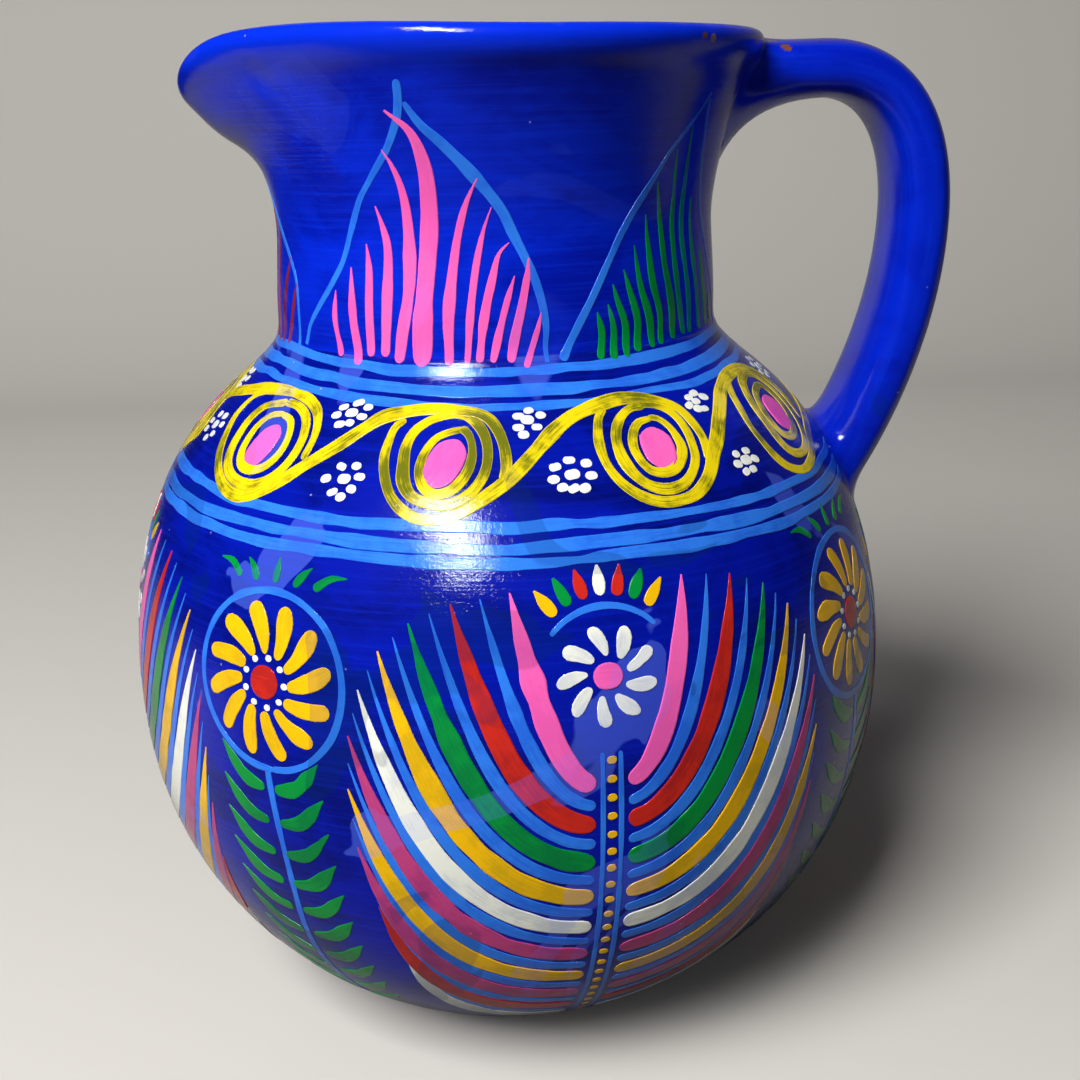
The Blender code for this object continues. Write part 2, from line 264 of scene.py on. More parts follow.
close_tree(add, add("GeometryNodeMergeByDistance", {0: formed, "Distance": 1e-5}), given["Paint"])

SPOUT_REACH, SPOUT_DROOP, SPOUT_SPREAD, SPOUT_POWER = 0.0075, 0.0085, 30.0, 2.4      # spreads and turns in degrees
SPOUT_H, SPOUT_FULL_H, NOSE_SPREAD = 0.033, 0.005, 20.0      # the tip, or nose, drops short and blunt
PINCH_DEPTH, PINCH_TURN, PINCH_SPREAD = 0.0014, 50.0, 15.0
CREASE_DEPTH, CREASE_TURN, CREASE_SWING, CREASE_SPREAD = 0.0009, 33.0, 520.0, 3.5    # a fold beside the spout
CREASE_BELOW_RIM, CREASE_FADE = 0.004, 0.006
LIP_RISE, LIP_RISE_H, LIP_RISE_FULL_H = 0.0019, 0.018, 0.004                         # the lip rises to the spout
LIP_RISE_FROM, LIP_RISE_FULL = 105.0, 45.0
THUMB_DEPTH, THUMB_Z, THUMB_SPREAD = 0.0016, 0.1605, 0.0085  # a shallow hollow along the shoulder's front
UNTRUE = ((0.00022, 2, 38, 0), (0.00018, 3, -61, 1), (0.00012, 5, 90, 2))            # depth, lobes, twist, start


def bump_at(value, centre, spread):
    return np.exp(-(((value - centre) / spread) ** 2))


def read(data, what):
    values = np.empty(len(data) * 3, np.float32)
    data.foreach_get(what, values)
    return values


def by_hand(obj):
    """What hands do to the soft pot: the spout is pulled out and pinched, and the belly is never quite true."""
    co = read(obj.data.vertices, "co").reshape(-1, 3).astype(float)
    x, y, z = co.T
    r = np.maximum(np.hypot(x, y), 1e-9)
    turn, a = np.abs(np.degrees(np.arctan2(y, -x))), np.arctan2(y, x)
    lift = eased((z - HEIGHT + SPOUT_H) / (SPOUT_H - SPOUT_FULL_H)) ** 1.25
    front = np.exp(-((turn / SPOUT_SPREAD) ** SPOUT_POWER)) * lift
    side = bump_at(turn, PINCH_TURN, PINCH_SPREAD) * lift
    crease = bump_at(turn, CREASE_TURN + (HEIGHT - z) * CREASE_SWING, CREASE_SPREAD) * lift
    crease *= np.clip((HEIGHT - CREASE_BELOW_RIM - z) / CREASE_FADE, 0, 1)
    raised = LIP_RISE * eased((z - HEIGHT + LIP_RISE_H) / (LIP_RISE_H - LIP_RISE_FULL_H))
    raised *= eased((LIP_RISE_FROM - turn) / (LIP_RISE_FROM - LIP_RISE_FULL))
    thumbed = THUMB_DEPTH * bump_at(z, THUMB_Z, THUMB_SPREAD) * np.clip(-y / r, 0, 1) ** 3
    untrue = sum(depth * np.sin(lobes * a + twist * z + start) for depth, lobes, twist, start in UNTRUE)
    untrue *= np.clip(z / 0.02, 0, 1) * np.clip(r / 0.03, 0, 1)
    grow = (r + SPOUT_REACH * front - PINCH_DEPTH * side - CREASE_DEPTH * crease - thumbed + untrue) / r
    co[:, :2] *= grow[:, None]
    co[:, 2] += raised - SPOUT_DROOP * bump_at(turn, 0, NOSE_SPREAD) * lift
    obj.data.vertices.foreach_set("co", co.astype(np.float32).ravel())
    obj.data.update()


def wire_of(line):
    return [(r, 0.0, z) for r, z in line], [(i, i + 1) for i in range(len(line) - 1)]


def piece(obj, slot, *nodes):
    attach(obj, "root")
    if nodes:
        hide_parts(*nodes)


def surface(name):
    """A material, what adds nodes to it, its shader, and the place on the piece in metres."""
    made = bpy.data.materials.new(name)
    made.use_nodes = True
    add = partial(node, made.node_tree)
    return made, add, made.node_tree.nodes["Principled BSDF"], add("TexCoord", get="Object")


# Terracotta, wire-cut and wiped with a wet hand: matt, orange-brown, with grog grains of 0.5 to 1.5 mm and
# throwing rings about 3 mm apart
terracotta, add, shader, place = surface("wiped_terracotta")
grog = add("TexVoronoi", {"Vector": place, "Scale": 900.0}, get="Distance")
smoke = add("TexNoise", {"Vector": place, "Scale": 28.0, "Detail": 5.0, "Roughness": 0.6})
level = add("Mapping", {0: place, "Scale": (12.0, 12.0, 340.0)})
rings = add("TexNoise", {"Vector": level, "Scale": 1.0, "Detail": 2.0})
clay = add("Mix", {0: add("MapRange", smoke, 0.3, 0.7, **SOFT), 6: linear("#a9582f"), 7: linear("#c47a4a")}, **COLOUR)
clay = add("Mix", {0: add("MapRange", grog, 0.35, 0.15, **SOFT), 6: clay, 7: linear("#8a4526")}, **COLOUR)
relief = add("Math:MULTIPLY_ADD", rings, 3.0, grog)
bump = add("Bump", {"Height": relief, "Strength": 0.5, "Distance": 0.0002})
fill(shader, {"Base Color": clay, "Normal": bump, "Roughness": 0.85, "Specular IOR Level": 0.3})

clay_body = grown("clay_body", turning, *wire_of(clay_line), Start=0.0, End=float(run_along(clay_line)[-1]),
                  Steps=144, Rows=250, Paint=terracotta)
# The coat lies on the clay: the clay is a coat's thickness smaller
skin = clay_body.data.vertices
skin.foreach_set("co", read(skin, "co") - read(skin, "normal") * COAT)
by_hand(clay_body)
piece(clay_body, "bare_terracotta", "base_disc", "belly_seam_coil", "neck_seam_coil")


# --- Ground coats ----------------------------------------------------------------------------------
# Two brushed coats of acrylic under a thick gloss varnish: navy over the belly, wrapped a little round
# the foot, and cobalt over the neck, the lip and the first two centimetres inside the mouth.

NECK_SLOT, BELLY_SLOT = "painted_neck_blue", "painted_belly_blue"
NAVY_FROM, NAVY_TO = 0.0295, 0.1735          # from this radius on the underside, up to this height
COBALT_FROM, COBALT_DEEP = 0.1715, 0.024     # from this height, to this far inside the rim
LIP_LIGHT_FROM, LIP_LIGHT_TO = 0.2325, 0.2355            # painted light: the lip is lighter from here up, where the light falls on it


def varnished(add, shader, place, body, relief, pale, chips=()):
    """Thick gloss varnish over a paint.

    The varnish is wrinkled at 0.8 mm and caught dust. Pale blue tongues of 1 to 3 cm on it are painted reflection,
    and darker tongues lie below the shoulder. Chips go down to the clay.
    """
    pools = add("TexNoise", {"Vector": place, "Scale": 17.0, "Detail": 3.0, "Distortion": 1.4})
    low = add("MapRange", add("SeparateXYZ", place, get="Z"), 0.158, 0.150, **SOFT)
    # Painted reflection: the pale blue tongues stand in for the room mirrored in the varnish, and pale sets how much.
    # The darker tongues only darken random patches below the shoulder
    painted_reflection = add("Math:MULTIPLY", add("MapRange", pools, 0.590, 0.600, **SOFT), pale)
    dark_tongues = add("Math:MULTIPLY", add("Math:MULTIPLY", add("MapRange", pools, 0.405, 0.395, **SOFT), low), 0.30)
    specks = add("TexVoronoi", {"Vector": place, "Scale": 330.0}, get=None)
    chosen = add("Math:GREATER_THAN", add("TexWhiteNoise", {"Vector": specks["Position"]}), 0.975)
    dust = add("Math:MULTIPLY", add("MapRange", specks["Distance"], 0.12, 0.05, **SOFT), chosen)
    for share, tint in ((painted_reflection, "#5f7cff"), (dark_tongues, "#03234e"), (add("Math:MULTIPLY", dust, 0.45), "#b9bdf0")):
        body = add("Mix", {0: share, 6: body, 7: linear(tint)}, **COLOUR)
    ragged = add("Math:SUBTRACT", add("TexNoise", {"Vector": place, "Scale": 900.0, "Detail": 2.0}), 0.5)
    for centre, radius, under in chips:
        away = add("VectorMath:DISTANCE", place, centre, get="Value")
        away = add("Math:MULTIPLY_ADD", ragged, radius * 1.6, away)
        bare = add("MapRange", away, radius, radius * 0.75, **SOFT)
        body = add("Mix", {0: bare, 6: body, 7: linear(under)}, **COLOUR)
    creases = add("TexNoise", {"Vector": place, "Scale": 1150.0, "Detail": 2.0, "Distortion": 0.8})
    creases = add("Math:ABSOLUTE", add("Math:SUBTRACT", creases, 0.5))
    grain = add("TexNoise", {"Vector": place, "Scale": 2400.0, "Detail": 1.0})
    wrinkle = add("Math:MULTIPLY_ADD", creases, 0.85, add("Math:MULTIPLY", grain, 0.22))
    wave = add("TexNoise", {"Vector": place, "Scale": 220.0, "Detail": 2.0})
    relief = add("Math:ADD", wrinkle, add("Math:MULTIPLY_ADD", wave, 0.8, relief))
    bump = add("Bump", {"Height": relief, "Strength": 0.52, "Distance": 0.00013})
    fill(shader, {"Base Color": body, "Normal": bump, "Coat Normal": bump, "Roughness": 0.4, "Coat Weight": 1.0,
                  "Coat Roughness": 0.04, "Specular IOR Level": 0.03})


def ground(name, colour, deep, lit, pale, chips=(), strap=False, lip=None):
    """Brushed acrylic: the strokes, 0.5 to 2 mm apart, run round the pot or along the strap."""
    made, add, shader, place = surface(name)
    way = add("Attribute", get="Vector", attribute_name="strap_place") if strap else place
    way = add("Mapping", {0: way, "Scale": (520.0, 520.0, 22.0) if strap else (24.0, 24.0, 1250.0)})
    strokes = add("TexNoise", {"Vector": way, "Scale": 1.0, "Detail": 4.0, "Roughness": 0.6, "Distortion": 0.3})
    cloud = add("Mapping", {0: place, "Scale": (26.0, 26.0, 44.0)})
    patches = add("TexNoise", {"Vector": cloud, "Scale": 1.0, "Detail": 6.0, "Roughness": 0.62, "Distortion": 0.8})
    patches = add("MapRange", patches, 0.42, 0.66, **SOFT)
    body = add("Mix", {0: patches, 6: linear(colour), 7: linear(deep)}, **COLOUR)
    brushed = add("Math:MULTIPLY", add("MapRange", strokes, 0.46, 0.70, **SOFT), 0.4)
    body = add("Mix", {0: brushed, 6: body, 7: linear(lit)}, **COLOUR)
    if lip:                                  # painted light: the top of the lip is made lighter, as lit from above
        above = add("MapRange", add("SeparateXYZ", place, get="Z"), LIP_LIGHT_FROM, LIP_LIGHT_TO, **SOFT)
        body = add("Mix", {0: above, 6: body, 7: linear(lip)}, **COLOUR)
    varnished(add, shader, place, body, add("Math:MULTIPLY", strokes, 0.9), pale, chips)
    return made


CLAY, SCUFFED, WORN = "#6e4236", "#7a6478", "#5c5b66"
RIM_CHIPS = [((0.0415, -0.0486, 0.2373), 0.0011, SCUFFED), ((0.0440, -0.0468, 0.2369), 0.0012, CLAY),
             ((0.0462, -0.0450, 0.2367), 0.0010, SCUFFED), ((0.0630, -0.0115, 0.2382), 0.0016, WORN)]
STRAP_CHIPS = [((0.0685, -0.0122, 0.2356), 0.0014, CLAY), ((0.0645, -0.0100, 0.2374), 0.0013, WORN),
               ((0.0662, -0.0090, 0.2370), 0.0010, WORN)]
# The cobalt coat's lighter lip colour is painted light on the rim's top.
cobalt_varnish = ground("varnished_cobalt_acrylic", "#0425c8", "#0215a0", "#0a30da", 0.04, RIM_CHIPS, lip="#052cd6")
navy_varnish = ground("varnished_navy_acrylic", "#03149c", "#020c6c", "#0822bc", 0.30)
strap_varnish = ground("varnished_strap_acrylic", "#0322bd", "#0218a6", "#0a2fcc", 0.0, STRAP_CHIPS, strap=True)


def thickened(obj):
    shell = obj.modifiers.new("thickness", "SOLIDIFY")
    shell.thickness, shell.offset = COAT * 1.2, -1.0


def run_at(z):
    return float(np.interp(z, side_line[:, 1], side_run))


under_run = float(np.interp(NAVY_FROM, painted_line[:foot_of_line, 0], run_of_line[:foot_of_line]))
mouth_run = float(run_of_line[top_of_line]) + COBALT_DEEP
for name, slot, nodes, paint, reach in (
        ("navy_coat", BELLY_SLOT, ("lower_bowl", "upper_bowl"), navy_varnish,
         {"Start": under_run, "End": run_at(NAVY_TO), "Ragged_Start": 0.004, "Seed": 3.0}),
        ("cobalt_coat", NECK_SLOT, ("neck_wall", "rim_coil"), cobalt_varnish,
         {"Start": run_at(COBALT_FROM), "End": mouth_run, "Ragged_End": 0.009, "Seed": 8.0})):
    coat = grown(name, turning, *wire_of(painted_line), finish=thickened, Steps=208, Rows=150, Paint=paint, **reach)
    by_hand(coat)
    piece(coat, slot, *nodes)


# --- Handle ----------------------------------------------------------------------------------------
# One pulled strap with broad faces, laid level off the rim, turned over the crest and brought down to
# the shoulder. Each end is luted on with clay that was smeared out over the pot and wiped smooth.

STRAP_W, STRAP_T, STRAP_SQUARE, TAIL_GROWS = 0.028, 0.0130, 2.8, 1.13
STRAP_BELOW_RIM, CREST_OUT, HANDLE_OUT, HANDLE_TURN_H = 0.0023, 0.013, 0.0079, 0.0332
TAIL_RISE, TAIL_SLOPE, TAIL_SINK = 0.0449, math.radians(53.0), 0.012
STRAP_SIDES, STRAP_ROWS, FAIR_ROWS, STRAP_STEP = 72, 110, 14, 0.0006
SMEAR_SINK = 0.0004                          # the edge of the smeared clay dips into the pot


def bezier(a, b, c, d, count):
    t = np.linspace(0, 1, count + 1)[:, None]
    return a * (1 - t) ** 3 + 3 * b * (1 - t) ** 2 * t + 3 * c * (1 - t) * t * t + d * t ** 3


top_line = HEIGHT - STRAP_BELOW_RIM - STRAP_T / 2
root = np.array([lip_in - WALL, top_line])
crest = np.array([MOUTH_R + CREST_OUT, top_line])
out = np.array([BELLY_R + HANDLE_OUT, top_line - HANDLE_TURN_H])
tail_way = -np.array([math.cos(TAIL_SLOPE), math.sin(TAIL_SLOPE)])
landing = np.array([thrown_radius(BELLY_Z + TAIL_RISE), BELLY_Z + TAIL_RISE])
tail = landing + tail_way * TAIL_SINK
level, down = np.array([1.0, 0.0]), np.array([0.0, -1.0])
lengths = [np.linalg.norm(b - a) for a, b in ((root, crest), (crest, out), (out, tail))]
strap_path = evenly(np.vstack([
    bezier(root, root + level * lengths[0] / 3, crest - level * lengths[0] / 3, crest, 30)[:-1],
    bezier(crest, crest + level * lengths[1] * 0.40, out - down * lengths[1] * 0.48, out, 60)[:-1],
    bezier(out, out + down * lengths[2] * 0.33, tail - tail_way * lengths[2] * 0.32, tail, 90)]), STRAP_STEP)

tangent = np.gradient(strap_path, axis=0)
tangent /= np.linalg.norm(tangent, axis=1)[:, None]
outward = np.stack([-tangent[:, 1], tangent[:, 0]], axis=1)      # away from the finger gap
around = 2 * np.pi * np.arange(STRAP_SIDES) / STRAP_SIDES
side, face = (np.sign(wave) * np.abs(wave) ** (2 / STRAP_SQUARE) * size / 2
              for wave, size in ((np.cos(around), STRAP_W), (np.sin(around), STRAP_T)))
size = 1 + (TAIL_GROWS - 1) * np.linspace(0, 1, len(strap_path))[:, None]
rings = np.stack([strap_path[:, :1] + outward[:, :1] * face * size, side * size,
                  strap_path[:, 1:] + outward[:, 1:] * face * size], axis=2)


def on_pot(point):
    """The nearest place on the pot's outside to this point, and the outward direction there."""
    r = math.hypot(point[0], point[1])
    gaps = (side_line[:, 0] - r) ** 2 + (side_line[:, 1] - point[2]) ** 2
    i = int(np.clip(np.argmin(gaps), 1, len(side_line) - 2))
    ray = np.array([point[0], point[1]]) / r
    way = side_line[i + 1] - side_line[i - 1]
    way /= np.linalg.norm(way)
    return np.append(ray * side_line[i, 0], side_line[i, 1]), np.append(ray * way[1], -way[0])


def fairing(j, order, reach_back, reach_out):
    """The clay smeared from one line of the strap's skin out over the pot: its first ring, and its points."""
    line = rings[order, j]
    for n, point in enumerate(line):
        place, normal = on_pot(point)
        if np.dot(place - point, normal) > 0:    # here the line goes into the pot
            break
    start = max(n - int(reach_back / STRAP_STEP), 0)
    way = point - np.array([strap_path[order[n], 0], 0.0, strap_path[order[n], 1]])
    way -= normal * np.dot(way, normal)
    end, normal = on_pot(place + way / np.linalg.norm(way) * reach_out)
    return start, arc(line[start], place, end - normal * SMEAR_SINK, np.linspace(0, 1, FAIR_ROWS))


last = len(rings) - 1
up_order, down_order = list(range(last // 2, -1, -1)), list(range(last // 2, last + 1))
lines = []
for j in range(STRAP_SIDES):
    under, over = max(-math.sin(around[j]), 0.0), max(math.sin(around[j]), 0.0)      # under faces the fingers
    cut_up, row_up = fairing(j, up_order, 0.006 + 0.017 * under, 0.0045 + 0.0165 * under ** 1.5 - 0.002 * over)
    cut_down, row_down = fairing(j, down_order, 0.007 + 0.004 * under, 0.0045 + 0.002 * under + 0.001 * over)
    at = np.linspace(last // 2 - cut_up, last // 2 + cut_down, STRAP_ROWS)[1:-1]
    centre = np.stack([np.interp(at, np.arange(last + 1), rings[:, j, k]) for k in range(3)], axis=1)
    lines.append(np.vstack([row_up[::-1], centre, row_down]))
count = len(lines[0])
faces = [(j * count + i, k * count + i, k * count + i + 1, j * count + i + 1)
         for j, k in enumerate(np.roll(range(STRAP_SIDES), -1).tolist()) for i in range(count - 1)]
faces.append([j * count for j in range(STRAP_SIDES)])
faces.append([j * count + count - 1 for j in reversed(range(STRAP_SIDES))])
mesh = bpy.data.meshes.new("handle")
mesh.from_pydata([tuple(v) for v in np.vstack(lines)], [], faces)
handle = bpy.data.objects.new("handle", mesh)
scene.collection.objects.link(handle)
work = bmesh.new()
work.from_mesh(mesh)
bmesh.ops.recalc_face_normals(work, faces=work.faces)
work.to_mesh(mesh)
work.free()
mesh.shade_smooth()
# Across, through and along the strap in metres, for the brush marks
laid = mesh.attributes.new("strap_place", "FLOAT_VECTOR", "POINT")
laid.data.foreach_set("vector", np.array([
    (side[j], face[j], 0.0015 * i) for j in range(STRAP_SIDES) for i in range(count)], np.float32).ravel())
mesh.materials.append(strap_varnish)
piece(handle, NECK_SLOT, "handle_strap", "upper_handle_wad", "lower_handle_wad")


# --- Painted ornament: how a brush lays it ----------------------------------------------------------
# Acrylic laid over the blue with round brushes of 1 to 6 mm. Each stroke is a thin domed ribbon of
# paint that follows the pot: blunt where the brush lands, and pointed where it lifts.

SQUARENESS, FULL_WIDTH, SUNK = 0.15, 0.0012, -0.00006    # of the ribbon's section, its half width, its underside
STROKE_STEP, WAVER_STEP, TREMBLE, THINNEST = 1.1, 5.0, 0.05, 0.07    # mm
POINT_VALUE = {"data_type": "FLOAT", "domain": "POINT"}

brushing, add, given = new_tree("brush_stroke", Thickness="Float", Lift="Float", Paint="Material")
out_way, half_width, across, crown = (
    add("GeometryNodeInputNamedAttribute", label, data_type=kind)
    for label, kind in (("out", "FLOAT_VECTOR"), ("half_width", "FLOAT"), ("across", "FLOAT"), ("crown", "FLOAT")))
line = add("GeometryNodeSetCurveNormal", {
    0: add("GeometryNodeMeshToCurve", given["Geometry"]), "Normal": out_way}, mode="FREE")
line = add("GeometryNodeStoreNamedAttribute", {
    0: line, "Name": "along", "Value": add("GeometryNodeSplineParameter", get="Length")}, **POINT_VALUE)
section = add("GeometryNodeCurvePrimitiveCircle", {"Resolution": 10, "Radius": 1.0})
at = add("SeparateXYZ", add("GeometryNodeInputPosition"), get=None)
sideways = add("Math:POWER", add("Math:ABSOLUTE", at["X"]), SQUARENESS)
sideways = add("Math:MULTIPLY", add("Math:SIGN", at["X"]), sideways)
upwards = add("Math:POWER", add("Math:MAXIMUM", at["Y"], 0.0), SQUARENESS)
for label, value in (("crown", upwards), ("across", sideways)):
    section = add("GeometryNodeStoreNamedAttribute", {0: section, "Name": label, "Value": value}, **POINT_VALUE)
section = add("GeometryNodeSetPosition", {0: section, "Position": add("CombineXYZ", {"Y": across})})
ribbon = add("GeometryNodeCurveToMesh", {0: line, "Profile Curve": section, "Scale": half_width, "Fill Caps": True})
full = add("Math:MINIMUM", add("Math:DIVIDE", half_width, FULL_WIDTH), 1.0)
height = add("Math:MULTIPLY_ADD", add("Math:MULTIPLY", crown, given["Thickness"]), full, given["Lift"])
height = add("Mix", {0: add("Math:GREATER_THAN", crown, 0.05), 2: SUNK, 3: height}, data_type="FLOAT")
laid = add("GeometryNodeSetPosition", {
    0: ribbon, "Offset": add("VectorMath:SCALE", {0: out_way, "Scale": height})})
close_tree(add, add("GeometryNodeFlipFaces", laid), given["Paint"])

side_slope = np.gradient(side_line, side_run, axis=0)
chance = np.random.default_rng(7)


def on_side(run, table=side_line):
    """The pot's radius and height at this run up its side, or another table's two columns."""
    return [np.interp(run, side_run, column) for column in table.T]


def unsteady(length, amount):
    """A hand's slow wavering along a stroke, as a function of the distance in mm."""
    knots = chance.normal(0.0, amount, max(3, int(length / WAVER_STEP) + 2))

    def at(d):
        t = np.clip(d / max(length, 1e-6), 0, 1) * (len(knots) - 1)
        i = np.minimum(t.astype(int), len(knots) - 2)
        return knots[i] + (knots[i + 1] - knots[i]) * eased(t - i)
    return at


def blend(a, b, low, high, t):
    return (high - t) / (high - low) * a + (t - low) / (high - low) * b


def rounded(points, knots):
    """A smooth curve through the points, which it reaches at the knots (Catmull-Rom)."""
    points = np.vstack([2 * points[0] - points[1], points, 2 * points[-1] - points[-2]])
    knots = np.r_[2 * knots[0] - knots[1], knots, 2 * knots[-1] - knots[-2]]
    fine = []
    for i in range(1, len(points) - 2):
        t = np.linspace(knots[i], knots[i + 1], 12, endpoint=False)[:, None]
        a = [blend(points[k], points[k + 1], knots[k], knots[k + 1], t) for k in (i - 1, i, i + 1)]
        b = [blend(a[k], a[k + 1], knots[i - 1 + k], knots[i + 1 + k], t) for k in (0, 1)]
        fine.append(blend(*b, knots[i], knots[i + 1], t))
    return np.vstack(fine + [points[-2:-1]])


def laid_stroke(points, widths, ends="rr", waver=0.10):
    """Places, outward directions and half widths along a stroke.

    Points are (turn in degrees, run in m), widths are half widths in mm, evenly spaced, and an end is r, round, or
    p, pointed.
    """
    p = np.array(points, float)
    track = np.stack([np.radians(p[:, 0]), p[:, 1] * 1000], axis=1)
    if len(p) > 2:
        flat = track * [on_side(p[:, 1])[0].mean() * 1000, 1]
        track = rounded(track, np.r_[0, np.cumsum(np.linalg.norm(np.diff(flat, axis=0), axis=1) ** 0.5)])
    else:
        track = np.linspace(track[0], track[-1], 12)
    turns, runs = track.T
    r = on_side(runs / 1000)[0] * 1000
    d = np.r_[0, np.cumsum(np.hypot(np.diff(turns) * (r[1:] + r[:-1]) / 2, np.diff(runs)))]
    length = d[-1]
    if ends == "rr" and len(widths) == 1 and length <= 6:
        at = length * (1 - np.cos(np.linspace(0, math.pi, 9))) / 2
    else:
        at = np.linspace(0, length, max(4, int(length / STROKE_STEP) + 1))
    if "r" in ends:                          # more rings where a round end turns in
        tip = widths[0] * np.array([0.06, 0.22, 0.5])
        tip = tip[tip < length / 2]
        at = np.unique(np.r_[at, tip, length - tip])
    half = np.interp(at, np.linspace(0, length, len(widths)), widths) * (1 + unsteady(length, waver)(at))
    for end, far, width in zip(ends, (at, length - at), (widths[0], widths[-1])):
        if end == "r":
            half = half * np.sqrt(np.maximum(1 - (1 - np.clip(far / max(width, 0.3), 0, 1)) ** 2, 0.004))
    turns, runs = np.interp(at, d, turns), np.interp(at, d, runs) + unsteady(length, TREMBLE)(at)
    (r, z), (way_r, way_z) = on_side(runs / 1000), on_side(runs / 1000, side_slope)
    places = np.stack([r * np.sin(turns), -r * np.cos(turns), z], axis=1)
    normals = np.stack([way_z * np.sin(turns), -way_z * np.cos(turns), -way_r], axis=1)
    return places, normals / np.linalg.norm(normals, axis=1)[:, None], np.maximum(half, THINNEST) / 1000


def painted(name, strokes, paint, slot, thickness=0.00002, lift=0.00006):
    """All the strokes of one pot of paint, as one piece."""
    strokes = [laid_stroke(*stroke) for stroke in strokes]
    edges, first = [], 0
    for points, _, _ in strokes:
        edges += [(i, i + 1) for i in range(first, first + len(points) - 1)]
        first += len(points)
    points, normals, widths = (np.concatenate(part) for part in zip(*strokes))
    obj = grown(name, brushing, points, edges, {"out": ("FLOAT_VECTOR", normals), "half_width": ("FLOAT", widths)},
                Thickness=thickness, Lift=lift, Paint=paint)
    by_hand(obj)
    piece(obj, slot)


def acrylic(name, colour, thin, thinness, edge=0.0):
    """Brushed acrylic under varnish.

    Bristle marks 0.2 to 0.4 mm apart run along each stroke, and thin paint lets the blue through.
    """
    made, add, shader, place = surface(name)
    along, across, half = (add("Attribute", get="Fac", attribute_name=label)
                           for label in ("along", "across", "half_width"))
    bristles = add("CombineXYZ", add("Math:MULTIPLY", add("Math:MULTIPLY", across, half), 3200.0),
                   add("Math:MULTIPLY", along, 130.0))
    where = add("VectorMath:ADD", bristles, add("Mapping", {0: place, "Scale": (9.0, 9.0, 9.0)}))
    marks = add("TexNoise", {"Vector": where, "Scale": 1.0, "Detail": 3.0, "Roughness": 0.65})
    cloud = add("TexNoise", {"Vector": place, "Scale": 260.0, "Detail": 4.0})
    loaded = add("Math:SUBTRACT", add("TexNoise", {"Vector": place, "Scale": 55.0, "Detail": 1.0}), 0.5)
    share = add("Math:MULTIPLY_ADD", marks, 0.6, add("Math:MULTIPLY", cloud, 0.55))
    share = add("Math:MULTIPLY_ADD", loaded, 0.9, share)
    share = add("Math:MULTIPLY", add("MapRange", share, 0.46, 0.74, **SOFT), thinness)
    rim = add("Math:MULTIPLY", add("MapRange", add("Math:ABSOLUTE", across), 0.80, 0.96, **SOFT), edge)
    share = add("Math:MULTIPLY", share, add("Math:SUBTRACT", 1.0, rim))
    body = add("Mix", {0: share, 6: linear(colour), 7: linear(thin)}, **COLOUR)
    varnished(add, shader, place, body, add("Math:MULTIPLY", marks, 0.35), 0.12)
    return made


def heights(points):
    """(turn, height in mm) to (turn, run in m)."""
    return [(turn, run_at(z / 1000)) for turn, z in points]


def placed(turn, run, points):
    """(right, up) in mm on the pot's unrolled skin, about a place on it, to (turn, run in m)."""
    runs = [run + y / 1000 for _, y in points]
    return [(turn + math.degrees(x / 1000 / on_side(at)[0]), at) for (x, _), at in zip(points, runs)]


# --- Neck: leaf panels -----------------------------------------------------------------------------
# Five pointed leaves stand round the neck, each outlined in sky blue and filled with a comb of upright
# strokes in one colour. They follow the seen ones; those at the back repeat their outline.

sky = acrylic("sky_blue_acrylic", "#2f7bea", "#1a52d0", 0.55)
pink = acrylic("pink_acrylic", "#fb66b8", "#d848a4", 0.35)
magenta = acrylic("magenta_acrylic", "#c0427e", "#82286e", 0.5)
brick = acrylic("brick_red_acrylic", "#8c2430", "#4a1640", 0.6)
green = acrylic("green_acrylic", "#06903a", "#045c3c", 0.5)
orange = acrylic("orange_yellow_acrylic", "#f6bd0c", "#a98f18", 0.45)

# Strokes as lists of (turn in degrees, height in mm), with one half width or several in mm
pink_comb = [
    ([(-39.6, 172.9), (-41.4, 180.5), (-40.8, 187.2)], 0.75), ([(-34.0, 171.6), (-35.5, 180.8), (-35.8, 192.3)], 0.9),
    ([(-30.8, 173.4), (-30.8, 184.1), (-30.6, 191.8), (-31.2, 197.3)], 0.9),
    ([(-27.0, 173.6), (-26.0, 184.2), (-25.5, 196.5), (-26.6, 201.1), (-27.9, 205.2)], 1.05),
    ([(-23.4, 172.4), (-22.5, 177.8), (-20.4, 187.3), (-20.0, 198.9), (-20.6, 208.6), (-22.2, 213.6), (-23.9, 216.7)],
     1.15),
    ([(-17.8, 171.8), (-17.2, 181.4), (-15.8, 193.1), (-14.6, 204.5), (-14.7, 213.5), (-16.8, 220.1), (-21.5, 224.3)],
     1.75), ([(-11.3, 172.1), (-11.2, 181.5), (-10.1, 190.2), (-8.4, 198.8), (-6.1, 205.5), (-3.3, 210.6)], 0.95),
    ([(-7.2, 172.4), (-5.9, 184.3), (-4.1, 194.1), (-2.3, 200.4), (-0.4, 204.7)], 0.7),
    ([(-4.4, 172.6), (-3.1, 181.3), (-0.8, 190.0), (1.0, 195.2), (3.3, 197.4)], 0.8),
    ([(-1.4, 172.5), (0.4, 178.9), (2.2, 184.7), (4.3, 190.5)], 0.7),
    ([(2.7, 172.4), (3.9, 177.6), (5.7, 184.0), (7.2, 190.3), (7.7, 194.1)], 0.95),
    ([(6.1, 171.2), (8.0, 175.7), (9.4, 179.7), (10.1, 182.5)], 0.6)]
